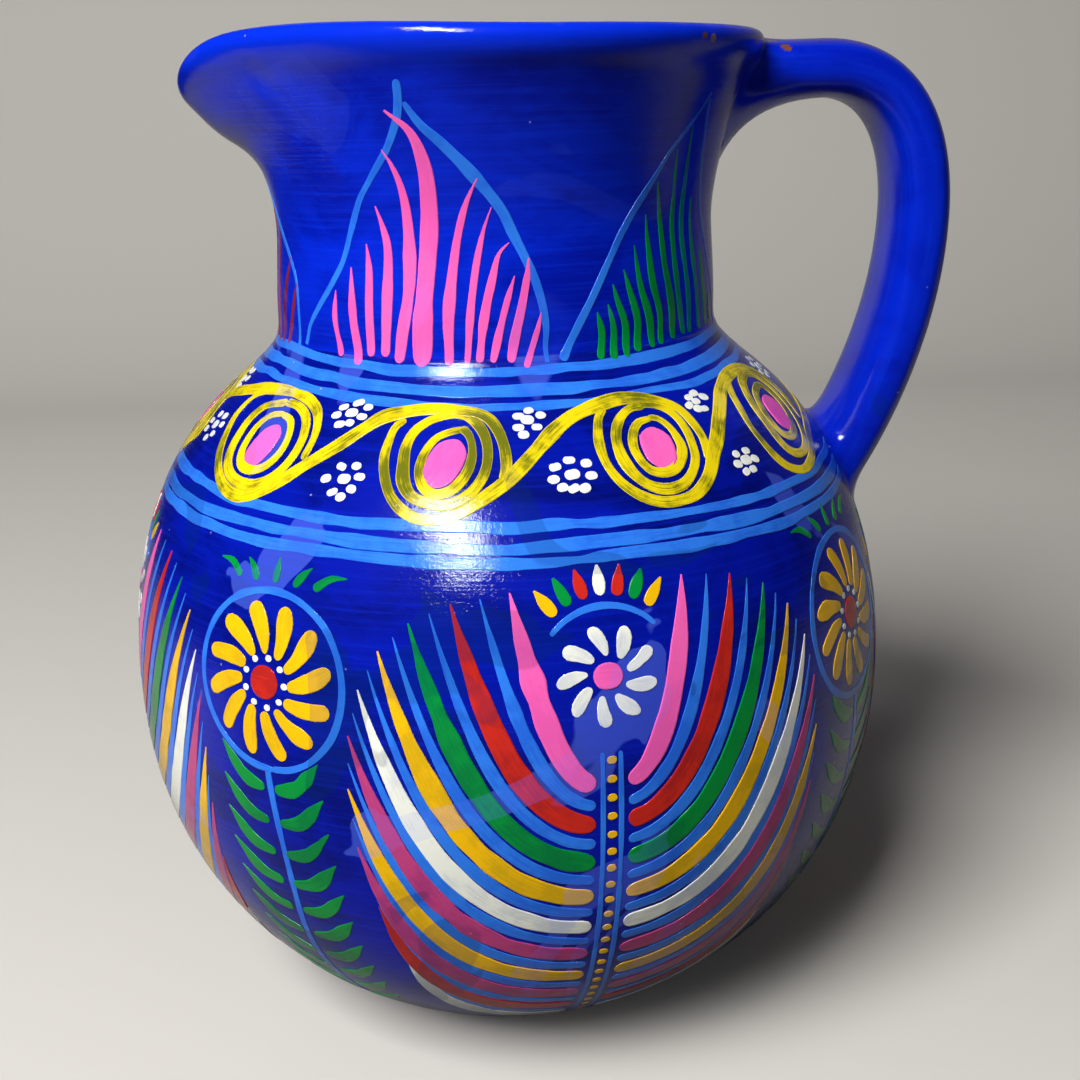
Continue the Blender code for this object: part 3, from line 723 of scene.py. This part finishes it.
pink_outline = [
    ([(-17.6, 229.4), (-18.0, 226.0), (-19.2, 222.3), (-22.5, 217.0), (-28.0, 210.9), (-32.0, 206.3), (-35.5, 199.9),
     (-38.4, 193.3), (-42.3, 188.3), (-47.3, 183.1), (-51.6, 178.4), (-53.5, 174.3)],
     [0.95, 0.9, 0.7, 0.75, 0.7, 0.6]),
    ([(-17.0, 225.5), (-14.2, 221.4), (-10.0, 217.3), (-5.6, 212.8), (-1.6, 208.2), (2.0, 203.6), (4.3, 199.0),
     (7.0, 193.8), (9.1, 189.1), (10.6, 183.8), (11.2, 179.0), (10.9, 175.0), (11.1, 172.0)],
     [0.7, 1.3, 1.35, 1.1, 1.0, 0.9, 0.5])]
green_comb = [
    [(24.0, 171.6), (25.0, 176.8), (23.9, 181.8)], [(27.5, 171.3), (28.2, 177.7), (26.8, 183.2)],
    [(31.1, 171.5), (31.5, 178.0), (29.5, 183.6), (28.3, 187.4)],
    [(34.6, 172.2), (35.1, 178.9), (33.2, 185.1), (31.6, 190.2)],
    [(39.3, 172.5), (39.0, 178.5), (36.3, 186.7), (35.1, 195.1)],
    [(42.3, 173.0), (42.5, 179.3), (40.4, 186.9), (39.6, 194.2), (39.0, 201.3)],
    [(47.0, 173.6), (46.9, 180.7), (45.1, 190.1), (44.1, 199.2), (42.0, 208.2)],
    [(51.6, 174.0), (49.9, 183.5), (48.9, 195.9), (48.8, 204.9), (47.0, 214.6)],
    [(54.6, 173.9), (54.6, 183.0), (53.1, 195.5), (53.0, 207.6), (50.6, 219.7)],
    [(60.2, 174.0), (59.7, 181.1), (58.2, 192.9), (57.5, 204.0)], [(65.0, 174.5), (64.2, 183.1), (63.0, 192.9)],
    [(69.6, 175.0), (68.6, 181.6)]]
green_outline = [
    ([(14.6, 172.1), (18.6, 178.5), (22.7, 184.8), (26.5, 190.7), (30.9, 197.1), (35.8, 203.3), (40.5, 208.8),
     (44.2, 213.9), (47.9, 218.0), (51.5, 222.2), (53.8, 226.2)], [1.0, 0.9, 0.9, 0.6, 0.4]),
    ([(54.0, 225.0), (56.5, 219.0), (60.0, 211.0), (63.5, 203.0), (67.0, 195.0), (71.0, 186.0), (74.0, 178.0),
     (75.0, 173.5)], [0.4, 0.8, 0.8, 0.6])]
brick_comb = [
    [(-64.0, 173.4), (-60.5, 181.0), (-57.6, 187.7)], [(-68.2, 173.2), (-66.0, 184.0), (-61.2, 193.2)],
    [(-72.5, 172.9), (-72.6, 185.0), (-71.0, 198.4)], [(-77.5, 172.9), (-78.4, 188.0), (-78.0, 203.0)],
    [(-83.0, 173.0), (-84.2, 190.0), (-86.0, 207.0)], [(-89.0, 173.0), (-91.0, 188.0), (-93.0, 203.0)],
    [(-94.5, 173.0), (-97.5, 186.0), (-100.0, 197.0)], [(-100.0, 173.2), (-104.0, 182.0), (-107.0, 190.0)],
    [(-106.0, 173.4), (-109.5, 179.0), (-112.0, 184.0)]]
brick_outline = [
    ([(-86.5, 214.0), (-82.0, 210.0), (-75.5, 204.5), (-68.6, 198.5), (-61.9, 193.3), (-57.8, 187.9), (-56.9, 181.7),
     (-57.1, 173.6)], [0.6, 0.8, 0.6, 0.6]),
    ([(-86.5, 215.0), (-93.0, 209.5), (-100.0, 203.5), (-107.0, 197.0), (-113.0, 190.0), (-116.5, 182.0),
     (-117.0, 173.5)], [0.6, 0.8, 0.7, 0.6])]
GREEN_BACK, PINK_BACK = (135.5, 44.5), (199.0, -21.0)        # where the seen panels come again, mirrored


def comb(strokes, turn=None, about=0.0):
    """Comb strokes as painted, or mirrored about one turn and set at another."""
    made = []
    for points, half in strokes:
        if turn is not None:
            points = [(turn - (a - about), z) for a, z in points]
        if isinstance(half, float):
            half = [half * w for w in (1.1, 1.25, 1.2, 1.1, 0.8, 0.12)]
        made.append((heights(points), half, "rp"))
    return made


outlines = comb(pink_outline + green_outline + brick_outline)
outlines += comb(green_outline, *GREEN_BACK) + comb(pink_outline, *PINK_BACK)
painted("neck_leaf_outlines", outlines, sky, NECK_SLOT)
green_comb, brick_comb = ([(points, 0.8) for points in strokes] for strokes in (green_comb, brick_comb))
for name, strokes, paint in (
        ("pink", comb(pink_comb), pink), ("green", comb(green_comb), green), ("brick", comb(brick_comb), brick),
        ("orange", comb(green_comb, *GREEN_BACK), orange), ("magenta", comb(pink_comb, *PINK_BACK), magenta)):
    painted("neck_comb_" + name, strokes, paint, NECK_SLOT, lift=0.00009)


# --- Shoulder: bands, running scroll and dot flowers -------------------------------------------------
# Two triple bands of sky blue, brushed freehand while the pot was turned, hold a running scroll: nine
# spirals in thin yellow, each with a pink heart, and a flower of white dots above and below each link.

scroll_yellow = acrylic("thin_yellow_acrylic", "#ecd312", "#5d6414", 0.95, edge=0.75)
white = acrylic("white_acrylic", "#f2f3e6", "#b9c0cf", 0.5)

BAND_TURNS = [-61, -46, -30, -15, 0, 15, 30, 45, 60, 75, 120, 180, 240]
BANDS = [(1.4, [172.9, 172.2, 171.4, 170.9, 170.5, 170.6, 170.9, 171.1, 172.0, 172.6, 172.0, 171.4, 171.9]),
         (1.45, [169.9, 169.0, 168.0, 167.3, 167.0, 167.0, 167.0, 167.3, 168.3, 169.0, 168.6, 168.0, 168.6]),
         (1.1, [167.0, 166.2, 165.3, 164.6, 164.2, 164.1, 164.6, 164.8, 165.8, 166.3, 165.8, 165.2, 165.8]),
         (1.2, [146.2, 145.2, 144.7, 144.5, 144.2, 143.8, 143.2, 142.9, 142.8, 143.0, 143.6, 144.5, 145.8]),
         (1.3, [141.9, 141.7, 141.5, 141.0, 140.2, 140.7, 140.1, 139.1, 139.2, 139.6, 140.3, 141.2, 141.8]),
         (1.2, [139.4, 138.8, 138.8, 138.4, 137.7, 138.0, 137.2, 136.4, 136.4, 136.8, 137.4, 138.2, 139.0])]
bands = []
for number, (half, levels) in enumerate(BANDS):
    turns = np.arange(160 + 17 * number, 160 + 17 * number + 372, 6.0)
    wander = chance.normal(0, 0.10, len(turns))
    points = zip(turns, np.interp(turns, BAND_TURNS, levels, period=360) + wander)
    bands.append((heights(points), list(half * (1 + chance.normal(0, 0.10, 40))), "rr"))
painted("shoulder_bands", bands, sky, BELLY_SLOT)

# One scroll shape is a dictionary of lines about the spiral's heart, in mm to the right and up the pot's skin: the
# left ring as far as it goes before it leaves for the next spiral, the way in over the top, and two inner rings
SHAPES = [
    {"ring": [(-11.1, 13.7), (-16.1, 11.0), (-18.1, 5.9), (-16.6, 0.2), (-14.1, -4.6), (-10.0, -8.6), (-4.6, -11.5),
         (0.9, -12.3), (4.9, -11.4), (8.7, -9.1), (12.1, -6.4), (15.6, -2.7)],
     "top": [(-34.0, 7.0), (-21.3, 12.0), (-11.4, 14.3), (-3.2, 14.9), (4.2, 13.6), (9.0, 11.0), (12.2, 6.7),
         (13.6, 2.9), (14.1, -1.4)],
     "second": [(-1.8, 11.9), (-8.6, 9.3), (-10.7, 5.4), (-10.8, 1.4), (-10.2, -2.5), (-8.3, -6.0), (-4.7, -8.3),
         (0.2, -9.3), (4.8, -8.8), (8.4, -6.7), (10.5, -3.4), (11.0, 0.4), (10.1, 4.5), (7.4, 8.6), (3.2, 11.3),
         (-2.0, 12.1)],
     "third": [(0.0, 8.8), (-3.9, 7.6), (-5.9, 4.7), (-6.3, 1.0), (-5.5, -2.8), (-3.2, -5.2), (0.2, -5.9),
         (3.8, -5.0), (6.1, -2.6), (6.8, 0.6), (5.7, 4.4), (3.4, 7.4), (-0.4, 8.7)],
     "heart": [(-1.4, -5.2), (0.0, 0.0), (0.9, 5.6)]},
    {"ring": [(-10.1, 10.6), (-12.1, 8.5), (-13.1, 4.9), (-13.5, 0.7), (-12.6, -3.8), (-10.7, -7.8), (-7.8, -10.7),
         (-4.1, -12.3), (0.0, -12.2), (4.0, -10.9), (7.5, -8.6), (10.8, -6.2), (14.0, -3.5)],
     "top": [(-25.3, 2.7), (-19.9, 7.2), (-15.6, 10.6), (-11.3, 12.3), (-6.9, 13.3), (-2.6, 13.6), (1.7, 13.1),
         (5.6, 12.3), (8.3, 10.4), (10.2, 7.6), (11.5, 4.8), (12.4, 1.7), (12.8, -1.4), (12.3, -4.6)],
     "second": [(-1.3, 11.6), (-4.4, 10.5), (-7.5, 7.7), (-9.0, 3.9), (-9.0, -0.7), (-8.4, -4.6), (-6.4, -7.4),
         (-2.9, -8.8), (1.0, -9.2), (4.4, -7.9), (7.0, -5.3), (8.4, -2.2), (8.7, 1.5), (7.9, 5.4), (6.2, 8.7),
         (3.6, 11.1), (0.6, 11.9), (-2.6, 11.3)],
     "third": [(2.9, 8.1), (-0.1, 7.3), (-2.7, 5.8), (-4.3, 3.3), (-5.3, 0.2), (-5.1, -3.1), (-3.8, -5.7),
         (-1.4, -7.0), (1.4, -6.4), (3.5, -4.3), (4.9, -1.6), (5.4, 1.6), (4.9, 4.8), (3.6, 7.4), (2.2, 8.4)],
     "heart": [(-2.2, -5.4), (-0.2, 0.0), (1.9, 5.4)]},
    {"ring": [(-7.8, 11.4), (-9.9, 9.3), (-11.8, 5.6), (-13.0, 1.9), (-13.4, -1.7), (-12.6, -5.3), (-10.6, -8.4),
         (-7.8, -10.6), (-4.3, -12.0), (-0.2, -12.2), (3.9, -11.6), (7.4, -9.7), (10.6, -6.8), (13.1, -3.7)],
     "top": [(-20.7, 7.0), (-15.9, 10.0), (-11.3, 11.8), (-6.5, 13.1), (-1.5, 13.5), (3.3, 12.7), (7.3, 10.9),
         (10.2, 8.4), (11.7, 4.6), (12.3, 0.8), (11.8, -2.2), (11.0, -5.0)],
     "second": [(1.7, 10.8), (-2.0, 10.5), (-5.5, 8.1), (-8.2, 4.3), (-9.3, 0.2), (-9.1, -3.2), (-7.8, -6.2),
         (-5.4, -8.4), (-2.1, -9.4), (1.9, -8.9), (5.1, -7.0), (7.7, -3.8), (8.7, -0.3), (9.0, 3.2), (8.3, 6.6),
         (6.4, 9.4), (3.5, 10.9), (0.2, 11.0)],
     "third": [(1.8, 7.2), (-1.7, 6.5), (-4.3, 4.0), (-5.7, 0.9), (-5.6, -2.1), (-4.3, -4.7), (-1.8, -5.8),
         (1.0, -5.5), (3.8, -3.6), (5.6, -1.0), (5.7, 2.0), (5.0, 4.8), (3.4, 6.9), (1.2, 7.6)],
     "heart": [(-0.9, -5.0), (0.0, 0.0), (0.8, 5.0)]},
    {"ring": [(-7.4, 12.8), (-11.1, 8.9), (-13.4, 4.8), (-15.5, 0.1), (-15.9, -4.1), (-15.4, -8.3), (-13.4, -11.7),
         (-10.2, -13.6), (-5.6, -14.4), (-0.4, -13.6), (4.5, -11.6), (9.0, -8.6)],
     "top": [(-28.3, -0.5), (-23.2, 3.5), (-17.6, 7.7), (-12.8, 11.0), (-6.2, 13.5), (0.5, 14.2), (6.5, 13.0),
         (11.0, 9.6), (13.4, 5.0), (13.6, 0.2), (12.0, -5.0)],
     "second": [(2.8, 12.0), (-2.0, 10.8), (-5.5, 7.8), (-7.7, 3.9), (-8.8, -0.1), (-9.3, -4.3), (-8.4, -8.3),
         (-5.6, -10.4), (-1.0, -10.8), (3.6, -9.2), (7.0, -6.2), (9.0, -2.0), (9.6, 2.5), (8.8, 7.0), (6.4, 10.4),
         (2.6, 12.0)],
     "third": [(3.4, 8.2), (-2.0, 6.6), (-4.9, 3.5), (-6.2, 0.4), (-6.5, -2.7), (-5.6, -5.0), (-2.7, -6.4),
         (1.2, -5.6), (4.0, -3.2), (5.8, 0.0), (6.2, 3.6), (5.2, 6.8), (3.0, 8.2)],
     "heart": [(-1.2, -5.0), (0.0, 0.0), (1.6, 5.0)]}]
SPIRALS = [(-46.5, 0), (-9.4, 1), (27.3, 2), (62.3, 3), (118.0, 1), (157.1, 2), (196.3, 1), (235.4, 2), (274.6, 0)]
LINK_WIDTHS = [0.9, 1.0, 1.1, 1.2, 1.35, 1.5, 1.65, 1.65, 1.75, 1.8, 1.65, 1.35, 1.15, 1.05]
spiral_run = run_at(0.1551)
scroll, hearts, dots = [], [], []
for number, (turn, kind) in enumerate(SPIRALS):
    after, follows = SPIRALS[(number + 1) % len(SPIRALS)]
    after += 360 if after < turn else 0
    shape = {label: placed(turn, spiral_run, line) for label, line in SHAPES[kind].items()}
    for line, widths in (
            (shape["ring"] + placed(after, spiral_run, SHAPES[follows]["top"]), LINK_WIDTHS),
            (shape["second"], [1.0, 1.25, 1.4, 1.3, 1.35, 1.2, 1.05, 1.1, 1.0]),
            (shape["third"], [0.9, 1.0, 1.1, 1.25, 1.2, 0.95, 0.9])):
        scroll.append((line, widths, "rr", 0.08))
    hearts.append((shape["heart"], [2.6, 3.7, 4.0, 3.7, 2.4], "rr", 0.03))

# Flowers of white dots: the seen ones dot by dot (turn, height in mm), the others as rings about these places
SEEN_DOTS = [
    (-32.7, 163.7), (-29.7, 164.6), (-27.1, 163.9), (-30.2, 162.8), (-27.6, 162.3), (-33.4, 162.2), (-31.6, 160.7),
    (-29.6, 161.1), (-27.3, 153.7), (-24.6, 154.0), (-29.3, 151.4), (-26.0, 151.7), (-23.4, 152.2), (-27.3, 149.3),
    (-24.2, 150.0), (-25.6, 148.6), (5.4, 163.4), (3.3, 162.6), (7.6, 162.6), (4.9, 161.9), (3.1, 160.7),
    (6.5, 160.6), (3.9, 159.5), (10.9, 154.8), (13.6, 154.0), (8.4, 153.8), (10.9, 152.4), (13.9, 151.9),
    (7.8, 151.8), (9.0, 150.3), (10.7, 150.0), (12.4, 150.0), (42.3, 162.9), (44.1, 162.0), (40.3, 162.4),
    (41.3, 161.5), (39.0, 161.1), (40.5, 160.2), (42.0, 160.0), (41.9, 151.2), (44.6, 151.2), (43.4, 149.7),
    (45.6, 149.4), (41.1, 149.4), (42.0, 147.7), (43.8, 147.8), (-68.7, 157.4), (-65.7, 157.6), (-70.4, 155.7),
    (-67.0, 155.6), (-64.1, 156.2), (-70.2, 154.0), (-65.1, 154.1), (-67.0, 152.8)]
LARGE_DOTS = {(-30.2, 162.8), (-26.0, 151.7), (4.9, 161.9), (10.9, 152.4), (43.4, 149.7), (-67.0, 155.6)}
RING_PLACES = [(-77.0, 163.6), (78.0, 162.2), (136.0, 162.0), (141.5, 151.0), (174.0, 162.2), (180.0, 151.2),
               (214.0, 161.8), (220.0, 151.4), (253.0, 162.4), (258.5, 151.0)]
RING_DOTS, RING_W, RING_H = 7, 3.7, 3.2      # and one in the middle
spots = [(turn, run_at(z / 1000), (turn, z) in LARGE_DOTS) for turn, z in SEEN_DOTS]
for turn, z in RING_PLACES:
    start = chance.uniform(0, 1)
    for n in range(RING_DOTS + 1):
        a, middle = 2 * math.pi * (n + start) / RING_DOTS, n == RING_DOTS
        dot = (0.0, 0.0) if middle else (RING_W * math.cos(a), RING_H * math.sin(a))
        spots.append((*placed(turn, run_at(z / 1000), [dot])[0], middle))
for turn, run, large in spots:
    long, lean = 1.1 + 0.25 * chance.uniform() + 0.35 * large, chance.normal(0.1, 0.22)
    half = 1.2 if large else 0.85 + 0.15 * chance.uniform()
    dots.append((placed(turn, run, [(-long, -lean), (long, lean)]), [half], "rr", 0.05))
painted("scroll", scroll, scroll_yellow, BELLY_SLOT, lift=0.00010)
painted("scroll_hearts", hearts, pink, BELLY_SLOT, lift=0.00008)


# --- Belly: fountains and flowers ------------------------------------------------------------------
# A generic garden in the same colours and brush sizes: four fountains of long strokes that spring from
# a dotted stem to both sides, with sky-blue strokes between, and a tall flower between each two.

red = acrylic("red_acrylic", "#cc2a1e", "#861a22", 0.5)
EQUATOR = run_at(BELLY_Z)
PAINTS = {"sky": sky, "white": white, "red": red, "magenta": magenta, "orange": orange, "green": green, "pink": pink}
garden = {colour: [] for colour in PAINTS}
ORDER = ["white", "red", "magenta", "orange", "magenta", "white", "orange", "green", "red", "pink"]
REACH = [44, 50, 54, 55, 54, 51, 46, 39, 30, 18]             # of a fountain's strokes from the lowest up, in mm
RISE = [-46, -30, -14, 0, 12, 22, 30, 36, 40, 42]            # of their tips over the equator
STEM_FOOT, STEM_STEP = -82, 9.2
SMALL_FLOWER, TALL_FLOWER = 24.0, 20.0                       # heights of their hearts


def brush(colour, turn, points, *how):
    """One stroke in mm about the place at this turn on the equator."""
    garden[colour].append((placed(turn, EQUATOR, points), *how))


def about(y, d, a):
    """The point at distance d and angle a from a flower's heart."""
    return d * math.cos(a), y + d * math.sin(a)


def sweep(turn, side, n, colour, widths):
    low, reach, rise = STEM_FOOT + STEM_STEP * n, np.interp(n, range(10), REACH), np.interp(n, range(10), RISE)
    line = arc((3.6, low), (0.74 * reach, low + 3.0), (reach, rise), np.linspace(0, 1, 9))
    brush(colour, turn, line * (side, 1), widths, "rp", 0.06)


def petals(turn, y, count, inner, outer, colour, half, start=0.0):
    for n in range(count):
        a = 2 * math.pi * (n + start) / count
        points = [about(y, d, a + 0.10 * k) for k, d in enumerate(np.linspace(inner, outer, 4))]
        brush(colour, turn, points, [half * w for w in (0.45, 0.85, 1.0, 0.8)], "rr")


def spot(turn, x, y, half, colour, wide=1.15):
    brush(colour, turn, [(x - half * wide, y), (x + half * wide, y)], [half], "rr", 0.04)


for turn in (12.0, 102.0, 192.0, 282.0):
    for side in (-1, 1):
        for n in range(10):
            sweep(turn, side, n, ORDER[n], [2.1, 2.4, 2.5, 2.3, 1.5, 0.15])
        for n in range(9):
            sweep(turn, side, n + 0.5, "sky", [1.2, 1.5, 1.5, 1.2, 0.8, 0.12])
        brush("sky", turn, [(side * 1.9, -86), (side * 2.0, -40), (side * 1.9, 8)], [0.55], "rr")
    for y in np.arange(-84, 8, 4.3):
        spot(turn, 0.0, y, 0.9, "orange")
    if abs(turn - 90.0) > 30:                # not under the handle's tail
        petals(turn, SMALL_FLOWER, 9, 4.2, 10.5, "white", 1.5, 0.25)
        spot(turn, 0.0, SMALL_FLOWER, 2.9, "pink", 1.05)
        bow = [about(SMALL_FLOWER, 14.2, a) for a in np.linspace(0.7, 2.44, 9)]
        brush("sky", turn, bow, [0.5, 0.8, 0.5], "rr")
        for n, colour in enumerate(("orange", "green", "red", "white", "red", "green", "orange")):
            ray = [about(SMALL_FLOWER, d, math.radians(54 + 12 * n)) for d in (16.2, 19.0, 22.5)]
            brush(colour, turn, ray, [1.1, 1.4, 0.2], "rp")
for turn in (-33.0, 57.0, 147.0, 237.0):
    petals(turn, TALL_FLOWER, 12, 6.2, 17.0, "orange", 2.1)
    spot(turn, 0.0, TALL_FLOWER, 3.7, "red", 1.0)
    for n in range(9):
        spot(turn, *about(TALL_FLOWER, 5.4, 2 * math.pi * n / 9), 0.7, "white")
    brush("sky", turn, [about(TALL_FLOWER, 19.3, a) for a in np.linspace(-1.5, 4.8, 26)], [0.8], "rr")
    brush("sky", turn, [(0.0, 1.0), (1.2, -25.0), (-1.0, -55.0), (0.5, -84.0)], [0.8, 0.9, 1.0], "rr")
    for y in np.arange(-78, -4, 8.2):
        grow = 0.75 + 0.25 * math.cos((y + 40) / 45)
        for side in (-1, 1):
            leaf = [(side * 1.5, y), (side * 7.5 * grow, y + 1.5), (side * 14.5 * grow, y + 8.5)]
            brush("green", turn, leaf, [1.1, 1.8, 1.6, 0.12], "rp")
    for x in (-9, -4.5, 0, 4.5, 9):
        tuft = [(x * 1.1, 41.0), (x * 1.5, 43.5), (x * 1.9, 46.5 - abs(x) * 0.3)]
        brush("green", turn, tuft, [0.9, 0.9, 0.12], "rp")

for colour, strokes in garden.items():       # the sky blue lies lowest
    lift = 0.00006 if colour == "sky" else 0.00009
    painted("belly_strokes_" + colour, strokes, PAINTS[colour], BELLY_SLOT, lift=lift)
painted("dot_flowers", dots, white, BELLY_SLOT, thickness=0.00004, lift=0.00008)


# --- Floor, light and camera -----------------------------------------------------------------------
# A plain pale sheet that curves up behind, and the camera where the photographer held it. A skylight gives the
# light, a narrow window the broken highlights on shoulder and lip, two weak lamps fill the sides, and a fifth
# one lights the pitcher's far side alone.

SWEEP_FROM, SWEEP_R = 0.75, 0.5              # where the sheet leaves the level, and how it curves
curve = [(SWEEP_FROM + SWEEP_R * math.sin(a), SWEEP_R - SWEEP_R * math.cos(a)) for a in np.linspace(0, math.pi / 2, 24)]
sweep_line = [(-2.0, 0.0), *curve, (SWEEP_FROM + SWEEP_R, 3.0)]
mesh = bpy.data.meshes.new("floor")
mesh.from_pydata([(x, y, z) for y, z in sweep_line for x in (-4.0, 4.0)], [],
                 [(i, i + 1, i + 3, i + 2) for i in range(0, 2 * len(sweep_line) - 2, 2)])
mesh.shade_smooth()
floor = bpy.data.objects.new("floor", mesh)
scene.collection.objects.link(floor)
# Pale paper, matt. The room in front of it and to the left is dim, as the varnish mirrors it
paper, add, shader, place = surface("pale_paper")
path, at = add("LightPath", get=None), add("SeparateXYZ", place, get=None)
far_light = add("Math:MULTIPLY_ADD", add("MapRange", at["Y"], 0.15, 0.75, **SOFT), 0.10, 0.01)
dim = [add("MapRange", at["Y"], 0.05, -0.15, **SOFT), add("MapRange", at["X"], -0.45, -0.70, **SOFT)]
mirrored = add("Mix", {0: add("Math:MAXIMUM", *dim), 6: linear("#a5a19a"), 7: linear("#1c1b1a")}, **COLOUR)
tone = add("Mix", {0: path["Is Glossy Ray"], 6: linear("#d6d2cb"), 7: mirrored}, **COLOUR)
tone = add("Mix", {0: path["Is Diffuse Ray"], 6: tone, 7: linear("#3e3c39")}, **COLOUR)
glow = add("Math:MULTIPLY", path["Is Camera Ray"], far_light)
fill(shader, {"Base Color": tone, "Roughness": 0.8, "Emission Color": linear("#d9d5ce"), "Emission Strength": glow})
mesh.materials.append(paper)

for name, at, look, width, depth, power in (
        ("window_lamp", (-0.235, -0.66, 0.80), (-0.235, -0.66, 0.0), 0.18, 0.60, 12.0),
        ("skylight", (-0.52, -0.78, 1.05), (0.0, -0.02, 0.13), 0.60, 0.60, 24.0),
        ("left_lamp", (-1.3, -0.9, 0.7), (0.0, 0.0, 0.12), 1.2, 1.2, 8.0),
        ("right_lamp", (1.4, -1.1, 0.9), (0.0, 0.0, 0.12), 1.2, 1.2, 1.1),
        ("back_lamp", (-0.1, 1.05, 0.42), (0.0, 0.0, 0.12), 0.8, 0.5, 8.0)):
    lamp = bpy.data.objects.new(name, bpy.data.lights.new(name, "AREA"))
    lamp.data.shape, lamp.data.size, lamp.data.size_y, lamp.data.energy = "RECTANGLE", width, depth, power
    lamp.location = at
    lamp.rotation_euler = (Vector(look) - Vector(at)).to_track_quat("-Z", "Y").to_euler()
    lamp.visible_glossy = name == "window_lamp"      # this one makes the highlights, the others the light
    lamp.visible_diffuse = not lamp.visible_glossy
    lamp.data.color = (0.92, 1.0, 1.0) if lamp.visible_glossy else (1.0, 1.0, 1.0)
    scene.collection.objects.link(lamp)
lamp.visible_camera = False                  # the back lamp lights the pitcher alone, and not the sheet
lit = lamp.light_linking.receiver_collection = bpy.data.collections.new("pitcher")
for obj in scene.objects:
    if obj.type == "MESH" and obj != floor:
        lit.objects.link(obj)

world = bpy.data.worlds.new("studio")
scene.world = world
world.use_nodes = True
add = partial(node, world.node_tree)
path = add("LightPath", get=None)
fill(world.node_tree.nodes["Background"], {
    "Color": add("Mix", {0: path["Is Glossy Ray"], 6: linear("#dedad4"), 7: linear("#4a4744")}, **COLOUR),
    "Strength": add("Math:MULTIPLY_ADD", path["Is Camera Ray"], 0.5, 0.045)})

CAMERA_AT, FOCAL = Vector((0.0, -0.33975, 0.22358)), 45.0
pitch, yaw, tilt = (math.radians(a) for a in (17.680, 1.532, -1.637))
forward = Vector((math.sin(yaw) * math.cos(pitch), math.cos(yaw) * math.cos(pitch), -math.sin(pitch)))
right = Vector((math.cos(yaw), -math.sin(yaw), 0.0))
upward = right.cross(forward)
right, upward = (math.cos(tilt) * right + math.sin(tilt) * upward, math.cos(tilt) * upward - math.sin(tilt) * right)
camera = bpy.data.objects.new("camera", bpy.data.cameras.new("camera"))
camera.data.lens, camera.data.sensor_width, camera.data.clip_start = FOCAL, 36.0, 0.01
camera.matrix_world = Matrix.Translation(CAMERA_AT) @ Matrix((right, upward, -forward)).transposed().to_4x4()
scene.collection.objects.link(camera)
scene.camera = camera
scene.view_settings.view_transform = "Standard"
